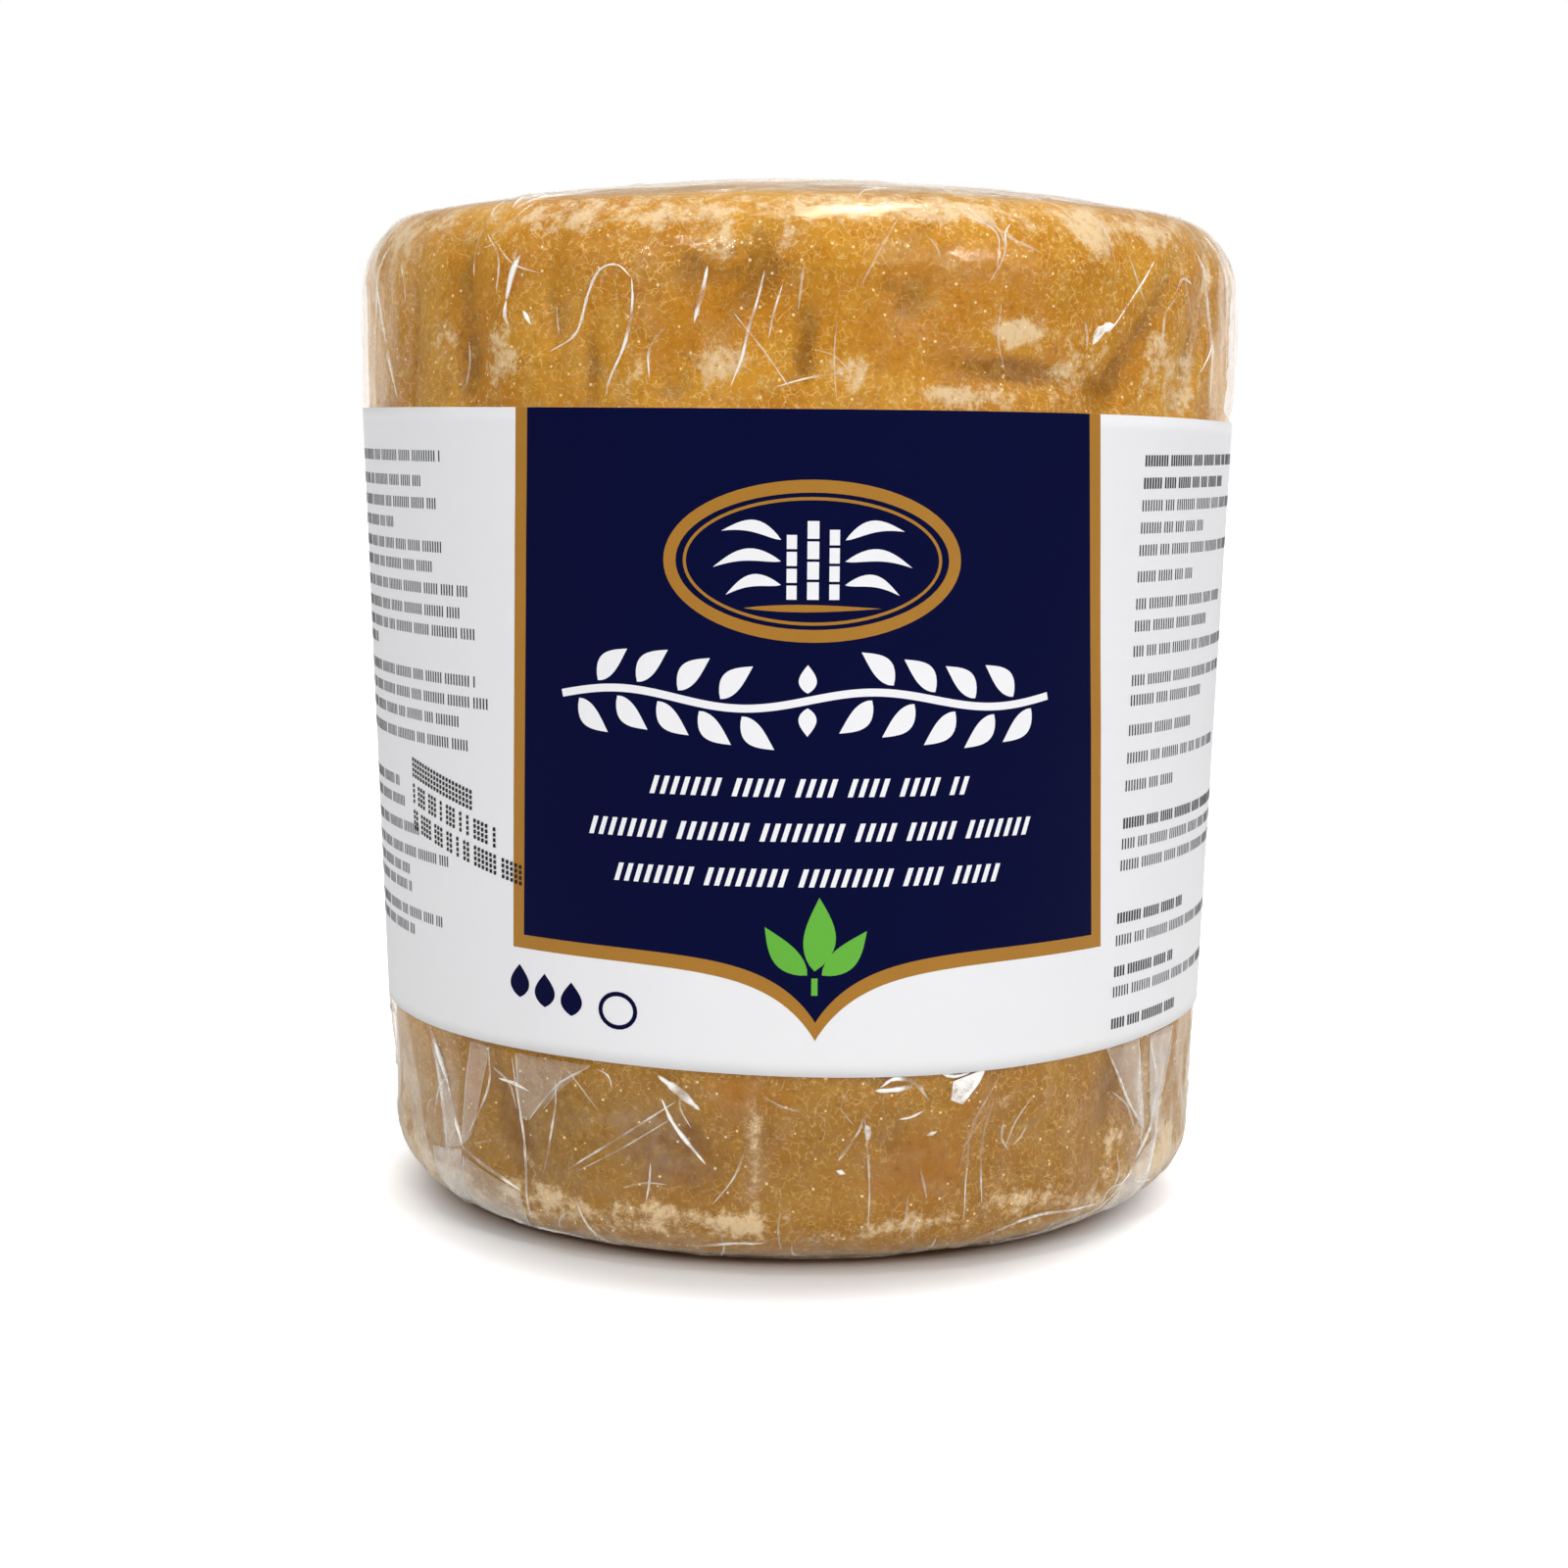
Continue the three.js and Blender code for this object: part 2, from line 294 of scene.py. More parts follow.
def grid_quads(index):
    """The faces between the neighbours in a grid of point numbers"""
    corners = [index[:-1, :-1], index[:-1, 1:], index[1:, 1:], index[1:, :-1]]
    return np.stack(corners, axis=-1).reshape(-1, 4)


def round_skin(name, outward):
    """A closed skin over the grid of the loaf: a ring of points at each level, and one point at each end"""
    rings = surface(azimuth_grid[1:-1], level_grid[1:-1], outward[1:-1]).reshape(-1, 3)
    bottom = surface(0, BASE_LEVEL, outward[0].mean())
    top = surface(0, TOP_LEVEL, outward[-1].mean())
    index = 1 + np.arange(len(rings)).reshape(-1, COLUMNS)
    index = np.column_stack([index, index[:, 0]])
    faces = grid_quads(index).tolist()
    faces += [(0, there, here) for here, there in zip(index[0], index[0, 1:])]
    faces += [(len(rings) + 1, here, there) for here, there in zip(index[-1], index[-1, 1:])]
    return new_piece(name, (np.vstack([bottom, rings, top]) * MM).tolist(), faces)


def store(piece, name, values):
    """Keeps a value from the loaf's grid on each point of a skin, for its material to read"""
    kept = np.concatenate([[values[0].mean()], values[1:-1].ravel(), [values[-1].mean()]])
    layer = piece.data.attributes.new(name, "FLOAT", "POINT")
    layer.data.foreach_set("value", kept.astype(np.float32))


def set_inputs(tree, node, inputs):
    """Sets each input of a node to a value, or links it to the output of another node"""
    for name, value in inputs.items():
        if isinstance(value, bpy.types.NodeSocket):
            tree.links.new(value, node.inputs[name])
        else:
            node.inputs[name].default_value = value


def add_node(tree, kind, inputs=None, **settings):
    node = tree.nodes.new(kind)
    for name, value in settings.items():
        setattr(node, name, value)
    set_inputs(tree, node, inputs or {})
    return node


def calculate(tree, operation, first, second=0.5, clamp=False):
    node = add_node(tree, "ShaderNodeMath", {0: first, 1: second}, operation=operation, use_clamp=clamp)
    return node.outputs[0]


def plus(tree, first, second, clamp=False):
    return calculate(tree, "ADD", first, second, clamp)


def minus(tree, first, second, clamp=False):
    return calculate(tree, "SUBTRACT", first, second, clamp)


def times(tree, first, second, clamp=False):
    return calculate(tree, "MULTIPLY", first, second, clamp)


def divide(tree, first, second):
    return calculate(tree, "DIVIDE", first, second)


def blend_colours(tree, share, first, second, how="MIX"):
    settings = {"data_type": "RGBA", "blend_type": how, "clamp_factor": True}
    node = add_node(tree, "ShaderNodeMix", {0: share, 6: first, 7: second}, **settings)
    return node.outputs[2]


def ramp_between(tree, value, low, high):
    """0 below low and 1 above high, with a soft run between"""
    inputs = {"Value": value, "From Min": low, "From Max": high}
    return add_node(tree, "ShaderNodeMapRange", inputs, interpolation_type="SMOOTHSTEP").outputs["Result"]


def between(tree, value, low, high):
    """Runs evenly from low to high while the value goes from 0 to 1"""
    inputs = {"Value": value, "To Min": low, "To Max": high}
    return add_node(tree, "ShaderNodeMapRange", inputs).outputs["Result"]


def bumps(tree, height, strength, highest):
    """The normal of a surface with bumps. A height of 1 is as high as highest, in millimetres."""
    inputs = {"Height": height, "Strength": strength, "Distance": highest * MM}
    return add_node(tree, "ShaderNodeBump", inputs).outputs["Normal"]


def noise(tree, place, size, detail=2.0, roughness=0.55):
    inputs = {"Vector": place, "Scale": 1 / size, "Detail": detail, "Roughness": roughness}
    return add_node(tree, "ShaderNodeTexNoise", inputs).outputs["Fac"]


def place_in_mm(tree):
    where = add_node(tree, "ShaderNodeTexCoord").outputs["Object"]
    scaled = add_node(tree, "ShaderNodeVectorMath", {0: where, "Scale": 1 / MM}, operation="SCALE")
    return scaled.outputs[0]


def stored(tree, name):
    return add_node(tree, "ShaderNodeAttribute", attribute_name=name).outputs["Fac"]


def colour(red, green, blue):
    """A colour seen as these three sRGB values, as the linear colour that a shader takes"""
    linear = [v / 3294.6 if v <= 10 else ((v / 255 + 0.055) / 1.055) ** 2.4 for v in (red, green, blue)]
    return (*linear, 1.0)


def new_group(name, inputs, outputs):
    """A shader node group with these sockets. Returns the group, its input node and its output node."""
    group = bpy.data.node_groups.new(name, "ShaderNodeTree")
    for socket, kind in inputs.items():
        group.interface.new_socket(socket, in_out="INPUT", socket_type=kind)
    for socket, kind in outputs.items():
        group.interface.new_socket(socket, in_out="OUTPUT", socket_type=kind)
    return group, add_node(group, "NodeGroupInput"), add_node(group, "NodeGroupOutput")


def mark_group(name):
    """A group for a mask of small marks. Returns it, its inputs, its output node, and the marks' scale."""
    sockets = {"Place": "NodeSocketVector", "Size": "NodeSocketFloat"}
    sockets |= {"Width": "NodeSocketFloat", "Cover": "NodeSocketFloat"}
    group, given, out = new_group(name, sockets, {"Mask": "NodeSocketFloat"})
    return group, given.outputs, out, divide(group, 1.0, given.outputs["Size"])


def in_patches(group, drawn, cover, place, scale, gain):
    """What is drawn, where a second noise lets it stand, which breaks long lines into short ones"""
    where = add_node(group, "ShaderNodeTexNoise", {"Vector": place, "Scale": scale, "Detail": 1.0})
    above = minus(group, where.outputs["Fac"], minus(group, 1.0, cover))
    return times(group, drawn, times(group, above, gain, True))


def squiggle_group():
    """Short thin curly marks: the broken level lines of a noise. Size is how far apart the lines run."""
    group, given, out, scale = mark_group("squiggles")
    place = given["Place"]
    inputs = {"Vector": place, "Scale": scale, "Detail": 1.0, "Distortion": 0.6}
    lines = add_node(group, "ShaderNodeTexNoise", inputs).outputs["Fac"]
    off_line = divide(group, calculate(group, "ABSOLUTE", minus(group, lines, 0.5)), given["Width"])
    on_line = minus(group, 1.0, off_line, True)
    moved = add_node(group, "ShaderNodeVectorMath", {0: place, 1: (31.0, 17.0, 5.0)}).outputs[0]
    mask = in_patches(group, on_line, given["Cover"], moved, times(group, scale, 1.5), 12.0)
    set_inputs(group, out, {"Mask": mask})
    return group


def needle_group():
    """Short straight strands, like crystal needles: broken edges between the cells of a Voronoi pattern"""
    group, given, out, scale = mark_group("needles")
    inputs = {"Vector": given["Place"], "Scale": scale}
    cells = add_node(group, "ShaderNodeTexVoronoi", inputs, feature="DISTANCE_TO_EDGE")
    on_edge = minus(group, 1.0, divide(group, cells.outputs["Distance"], given["Width"]), True)
    mask = in_patches(group, on_edge, given["Cover"], given["Place"], times(group, scale, 1.3), 9.0)
    set_inputs(group, out, {"Mask": mask})
    return group


def fleck_group():
    """Small round specks, each in a cell of its own. Cover is the share of the cells that hold one."""
    group, given, out, scale = mark_group("flecks")
    cells = add_node(group, "ShaderNodeTexVoronoi", {"Vector": given["Place"], "Scale": scale}).outputs
    dot = times(group, minus(group, 1.0, divide(group, cells["Distance"], given["Width"])), 3.0, True)
    draw = add_node(group, "ShaderNodeSeparateColor", {"Color": cells["Color"]}).outputs["Red"]
    kept = calculate(group, "LESS_THAN", draw, given["Cover"])
    set_inputs(group, out, {"Mask": times(group, dot, kept)})
    return group


squiggles = squiggle_group()
needles = needle_group()
flecks = fleck_group()


def marks(tree, group, place, size, width, cover):
    """The mask of a squiggle, needle or fleck group with its own values"""
    inputs = {"Place": place, "Size": size, "Width": width, "Cover": cover}
    return add_node(tree, "ShaderNodeGroup", inputs, node_tree=group).outputs["Mask"]


def new_material(name):
    """A material with a Principled shader. Returns the material, its node tree and the shader node."""
    material = bpy.data.materials.new(name)
    material.use_nodes = True
    tree = material.node_tree
    shader = next(node for node in tree.nodes if node.type == "BSDF_PRINCIPLED")
    return material, tree, shader


JAGGERY_OCHRE = colour(213, 152, 34)
JAGGERY_AMBER = colour(191, 126, 12)
JAGGERY_SYRUP = colour(146, 93, 0)
JAGGERY_TAN = colour(217, 168, 66)
JAGGERY_CREAM = colour(242, 206, 132)
JAGGERY_CRYSTAL = colour(252, 228, 172)
JAGGERY_CRUST = colour(234, 208, 166)
# A dull colour for the foot, also used as painted shade on the left side
JAGGERY_DULL = colour(156, 118, 44)
JAGGERY_SPECK = colour(90, 52, 18)
# A darker tint for the foot, also used as painted shade on the left side
JAGGERY_FOOT_AND_SHADE_TINT = (0.75, 0.71, 0.52, 1.0)
JAGGERY_CLOUD_TINT = (0.72, 0.68, 0.45, 1.0)
JAGGERY_PORE_TINT = (0.72, 0.62, 0.40, 1.0)
# How pale the block's crust is on the shoulder, the foot, the lumps' ridges, the back and the dome. On the
# ridges the paleness is partly a painted highlight.
SHOULDER_CRUST = 0.45
FOOT_CRUST = 0.32
RIDGE_CRUST_AND_HIGHLIGHT = 0.9
BACK_CRUST = 0.75
DOME_CRUST = 0.45


def jaggery_material():
    """Cast sugar in layers: its ground, damp amber and dark syrup, pores, crusts, and crystals on top. The
    syrup colour also darkens the furrows and the hollows of the cast surface as painted shade, and a dull
    tint darkens the foot and paints shade on the left side.
    """
    material, tree, shader = new_material("cast_jaggery")
    place = place_in_mm(tree)
    large = noise(tree, place, 9, 3.0)
    small = noise(tree, place, 1.3, 4.0, 0.65)
    grain = noise(tree, place, 0.35, 2.0, 0.7)
    frost = noise(tree, place, 2.4, 6.0, 0.78)
    dull_foot_and_left_shade = stored(tree, "dull_foot_and_left_shade")
    clouds = ramp_between(tree, noise(tree, place, 4.5, 3.0), 0.46, 0.68)
    mottle = ramp_between(tree, small, 0.45, 0.75)
    ragged = times(tree, minus(tree, small, 0.5), 1.6)
    wet = ramp_between(tree, plus(tree, stored(tree, "amber"), ragged), 0.25, 0.85)
    crumbs = times(tree, minus(tree, frost, 0.5), 3.2)
    # Syrup colour at random, and as painted shade in the hollows of the cast surface
    torn = plus(tree, times(tree, crumbs, 0.65), stored(tree, "hollow_shade"))
    syrup_and_shade = ramp_between(tree, torn, 0.30, 0.85)
    feathers = ramp_between(tree, frost, 0.50, 0.68)
    pores = ramp_between(tree, noise(tree, place, 0.8, 4.0, 0.7), 0.48, 0.72)
    crusty = ramp_between(tree, plus(tree, stored(tree, "crust"), crumbs), 0.45, 1.05)
    crusty = times(tree, crusty, minus(tree, 0.88, times(tree, pores, 0.5)))
    curls = times(tree, marks(tree, squiggles, place, 1.2, 0.020, 0.53), 0.75)
    strands = times(tree, marks(tree, needles, place, 0.75, 0.07, 0.54), 0.7)
    dry = minus(tree, 1.0, times(tree, calculate(tree, "MAXIMUM", wet, syrup_and_shade), 0.6))
    dry = minus(tree, dry, times(tree, dull_foot_and_left_shade, 0.4), True)
    pale = times(tree, calculate(tree, "MAXIMUM", curls, strands), dry)
    crystals = marks(tree, flecks, place, 0.95, 0.18, 0.34)
    specks = marks(tree, flecks, place, 2.4, 0.06, 0.14)
    # Each layer over the ground, the lowest first: where it lies, how strong it is, its colour, how it joins
    layers = [
        (clouds, 0.6, JAGGERY_CLOUD_TINT, "MULTIPLY"),
        # The foot darker and duller, and painted shade on the left side
        (dull_foot_and_left_shade, 0.4, JAGGERY_DULL, "MIX"),
        (mottle, 0.35, JAGGERY_TAN, "MIX"),
        (wet, 0.85, JAGGERY_AMBER, "MIX"),
        (syrup_and_shade, 0.88, JAGGERY_SYRUP, "MIX"),
        (feathers, 0.4, JAGGERY_TAN, "MIX"),
        (pores, 0.75, JAGGERY_PORE_TINT, "MULTIPLY"),
        (dull_foot_and_left_shade, 1.0, JAGGERY_FOOT_AND_SHADE_TINT, "MULTIPLY"),
        (crusty, 1.0, JAGGERY_CRUST, "MIX"),
        (pale, 1.0, JAGGERY_CREAM, "MIX"),
        (crystals, 0.85, JAGGERY_CRYSTAL, "MIX"),
        (specks, 0.8, JAGGERY_SPECK, "MIX"),
    ]
    body = blend_colours(tree, ramp_between(tree, large, 0.36, 0.64), JAGGERY_AMBER, JAGGERY_OCHRE)
    for where, strength, tone, how in layers:
        body = blend_colours(tree, times(tree, where, strength), body, tone, how)
    height = plus(tree, times(tree, small, 0.5), times(tree, grain, 0.25))
    height = plus(tree, height, times(tree, pale, 0.12))
    inputs = {
        "Base Color": body,
        "Roughness": between(tree, small, 0.38, 0.62),
        "Normal": bumps(tree, height, 0.5, 0.5),
        "Subsurface Weight": 0.22,
        "Subsurface Radius": (1.0, 0.5, 0.18),
        "Subsurface Scale": 1.3 * MM,
        "Specular IOR Level": 0.12,
    }
    set_inputs(tree, shader, inputs)
    return material


block = round_skin("jaggery_block", -block_depth)
shoulder_crust = window(99.5, 103, 106, 112, level_grid)
away_from_front = 1 - np.exp(-((turn_from(0, azimuth_grid) / 62) ** 4))
crust = spots(CRUSTS, azimuth_grid, level_grid) + SHOULDER_CRUST * shoulder_crust
crust += FOOT_CRUST * window(1.5, 3.5, 5.5, 8, level_grid)
# The lumps' ridges are paler: partly crust, and partly a painted highlight that sets off the painted shade
# in the hollows.
crust += RIDGE_CRUST_AND_HIGHLIGHT * np.clip(0.42 - lump_share, 0, 1)
crust += BACK_CRUST * away_from_front * smoothstep(0.55, 0.80, soft_noise(loaf_points, 7, 61))
dome_patches = smoothstep(0.50, 0.80, soft_noise(loaf_points, 6, 62))
crust += DOME_CRUST * dome_patches * smoothstep(106, 112, level_grid)
store(block, "crust", np.clip(crust, 0, 1.2))
store(block, "amber", np.clip(spots(AMBERS, azimuth_grid, level_grid), 0, 1))
# Painted shade: the furrows, the deeper crags and the hollows between the lumps are darkened towards the
# syrup colour.
hollow_shade = 0.85 * furrow_depth + 0.5 * (crag_depth - 0.5) + 1.1 * np.clip(lump_share - 0.48, 0, 1)
store(block, "hollow_shade", np.clip(hollow_shade, 0, 1))
# Darker and duller towards the foot. The two spots on the left add painted shade there, on the foot and
# below the shoulder.
left_shade = 0.9 * np.exp(-((level_grid - 13) / 9) ** 2 - ((azimuth_grid - 328) / 18) ** 2)
left_shade += 0.4 * np.exp(-((level_grid - 90) / 7) ** 2 - ((azimuth_grid - 312) / 20) ** 2)
store(block, "dull_foot_and_left_shade", 1 - smoothstep(14, 30, level_grid) + left_shade)
block.data.materials.append(jaggery_material())
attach(block, "root")
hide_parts("wrapped_block")

# The film is a clear bag, shrunk on to the block by heat. It spans the furrows, stands off the bent foot in
# flat facets, and turns milky where it is folded over itself.
FILM_FOLLOW = 0.32
FILM_CLEAR = 0.12
FILM_UNDER_BAND = 0.3
LOAF_AREA = 46000
WIDE_CELL = 11
NARROW_CELL = 4.5
PLEATS = 21
PLEAT_TOP = 17
PLEAT_DEPTH = 0.4
HAZES = [
    (-17, 13, 3.5, 4.5, 30, 0.16), (-62, 12, 9, 5, 0, 0.16), (-57, 5, 4, 6, 0, 0.28),
    (-51, 13, 7, 1.6, -12, 0.18), (-4.8, 12.5, 6, 0.8, 0, 0.16), (52, 14, 7, 3.5, 8, 0.14),
    (60, 8, 8, 4, 0, 0.18), (45, 3, 3, 9, 0, 0.18), (-30, 1.5, 3, 14, 0, 0.18), (5, 1.5, 2, 16, 0, 0.12),
    (-62, 91, 10, 2.5, 5, 0.10), (-45, 88, 4, 1.5, -30, 0.08), (-70, 101, 4, 5, 0, 0.12),
]


def cell_field(points, size, flatten, seed):
    """Distances to the nearest and the next of many seeds strewn over the loaf, in sizes of a cell"""
    rng = np.random.default_rng(seed)
    stretch = np.array([1, 1, flatten])
    levels = np.linspace(BASE_LEVEL, TOP_LEVEL, 400)
    chance = radius_at(levels) / radius_at(levels).sum()
    count = int(LOAF_AREA / size**2)
    level = rng.choice(levels, count, p=chance)
    seeds = surface(rng.uniform(0, 360, count), level) * stretch
    tree = KDTree(count)
    for number, seed_place in enumerate(seeds):
        tree.insert(seed_place, number)
    tree.balance()
    flat_points = (points * stretch).reshape(-1, 3)
    near = np.empty((len(flat_points), 2))
    for number, point in enumerate(flat_points):
        (_, _, first), (_, _, second) = tree.find_n(point, 2)
        near[number] = first, second
    near = near.reshape(*points.shape[:-1], 2) / size
    return near[..., 0], near[..., 1]


def pleats(azimuth, level):
    """Valleys between the film's pleats, sharp at each crest and widest just above the base"""
    turn = np.radians(azimuth)
    phase = PLEATS * turn / 2 + 0.9 * np.sin(3 * turn) + 0.5 * np.sin(5 * turn + 1)
    return np.abs(np.sin(phase)) * window(-3, 2, 5, PLEAT_TOP, level)


wobble = 2.2 * (soft_noise(loaf_points, 14, 21)[..., None] - 0.5)
wide_first, wide_second = cell_field(loaf_points + wobble, WIDE_CELL, 0.6, 8)
narrow_first, narrow_second = cell_field(loaf_points, NARROW_CELL, 0.7, 9)
crumpled = smoothstep(0.35, 0.65, soft_noise(loaf_points, 19, 10))
low_zone = 1 - smoothstep(16, 24, level_grid)
wide_ridge = 1 - smoothstep(0.0, 0.10, wide_second - wide_first)
narrow_ridge = (1 - smoothstep(0.0, 0.14, narrow_second - narrow_first)) * crumpled
wide_bowl = (0.20 + 0.28 * low_zone + 0.12 * crumpled) * (1 - np.clip(wide_first / 0.62, 0, 1) ** 2)
narrow_bowl = 0.14 * crumpled * (1 - np.clip(narrow_first / 0.62, 0, 1) ** 2)
follow = FILM_FOLLOW * (lump_depth + furrow_depth)
bowls = (wide_bowl + narrow_bowl) * (1 - 0.5 * smoothstep(99, 106, level_grid))
film_depth = (follow + bowls + PLEAT_DEPTH * pleats(azimuth_grid, level_grid)) * above_base
film_depth = film_depth * shown + FILM_UNDER_BAND * (1 - shown)
film_depth = np.minimum(film_depth - proud, block_depth - FILM_CLEAR)

FILM_MILKY = colour(244, 232, 212)
# The white of the folds, also used for the glints painted along the creases and on one flap
FILM_FOLD_AND_GLINT_WHITE = colour(252, 250, 246)
FILM_IOR = 1.37
CURL_HAZE = 0.045
STREAK_HAZE = 0.018
SLANT_HAZE = 4.0
# With this much haze, half of what the film shows is still a mirror
FILM_HALF_DULL = 0.07


def stretched(tree, place, by):
    """The place with its three sides stretched, which draws a pattern out along the least stretched one"""
    return add_node(tree, "ShaderNodeVectorMath", {0: place, 1: by}, operation="MULTIPLY").outputs[0]


def film_material(name, extra_haze, white):
    """Clear film: it mirrors by the angle that it is seen at, and turns white and dull where it is milky. On
    the creases and one flap the whiteness is mostly painted glints.
    """
    material, tree, shader = new_material(name)
    place = place_in_mm(tree)
    cloud = ramp_between(tree, noise(tree, place, 2.4, 4.0, 0.7), 0.2, 0.75)
    curls = marks(tree, squiggles, place, 1.9, 0.02, 0.47)
    upright = stretched(tree, place, (1.0, 1.0, 0.15))
    streaks = ramp_between(tree, noise(tree, upright, 1.0, 3.0), 0.5, 0.75)
    haze_and_glint = times(tree, stored(tree, "haze_and_glint"), cloud)
    haze_and_glint = plus(tree, haze_and_glint, times(tree, curls, CURL_HAZE))
    haze_and_glint = plus(tree, haze_and_glint, times(tree, streaks, STREAK_HAZE))
    haze_and_glint = plus(tree, haze_and_glint, extra_haze)
    facing = add_node(tree, "ShaderNodeLayerWeight", {"Blend": 0.5}).outputs["Facing"]
    slant = plus(tree, times(tree, calculate(tree, "POWER", facing, 4.0), SLANT_HAZE), 1.0)
    haze_and_glint = times(tree, haze_and_glint, slant, True)
    inside = add_node(tree, "ShaderNodeNewGeometry").outputs["Backfacing"]
    bend = add_node(tree, "ShaderNodeMix", {0: inside, 2: FILM_IOR, 3: 1 / FILM_IOR}).outputs[0]
    sheen = add_node(tree, "ShaderNodeFresnel", {"IOR": bend}).outputs[0]
    level_lines = stretched(tree, place, (0.2, 1.3, 1.3))
    ripple = plus(tree, noise(tree, place, 0.9, 3.0, 0.6), noise(tree, level_lines, 1.2, 2.0))
    inputs = {
        "Base Color": white,
        "Alpha": plus(tree, sheen, times(tree, haze_and_glint, minus(tree, 1.0, sheen)), True),
        "Metallic": divide(tree, FILM_HALF_DULL, plus(tree, haze_and_glint, FILM_HALF_DULL)),
        "Roughness": between(tree, haze_and_glint, 0.07, 0.45),
        "Normal": bumps(tree, ripple, 0.25, 0.25),
    }
    set_inputs(tree, shader, inputs)
    return material


film = round_skin("clear_film", -film_depth)
film_haze = 0.005 + spots(HAZES, azimuth_grid, level_grid) + 0.05 * wide_ridge + 0.03 * narrow_ridge
film_haze += 0.03 * low_zone + 0.10 * (1 - smoothstep(-2, 2.5, level_grid))
store(film, "haze_and_glint", np.clip(film_haze * shown, 0, 0.85))
film.data.materials.append(film_material("clear_film", 0.0, FILM_MILKY))
film.visible_shadow = False
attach(film, "root")
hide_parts("wrapped_block")


def film_at(azimuth, level, lift=0.0):
    """Points that lie on the film, or above it by lift"""
    column = (np.asarray(azimuth) % 360) / 360 * COLUMNS
    row = np.interp(level, grid_levels, np.arange(len(grid_levels)))
    left, low = np.floor(column).astype(int), np.minimum(np.floor(row).astype(int), len(grid_levels) - 2)
    share_x, share_y = column - left, row - low
    left, right = left % COLUMNS, (left + 1) % COLUMNS
    lower = film_depth[low, left] * (1 - share_x) + film_depth[low, right] * share_x
    upper = film_depth[low + 1, left] * (1 - share_x) + film_depth[low + 1, right] * share_x
    depth = lower * (1 - share_y) + upper * share_y
    return surface(azimuth, level, lift - depth)


# The creases are where the film is pinched into a narrow welt, and the flaps where it is folded over itself.
# Both lie on the film and catch the light. The thin bright lines along the creases, and one small flap, are
# painted glints in the film's whiteness, over the milky whitening of the folds.
CREASE_STEP = 0.4
FLAP_POINTS = 15
FLAP_LIFT = 0.12
FLAP_THICKNESS = 0.06
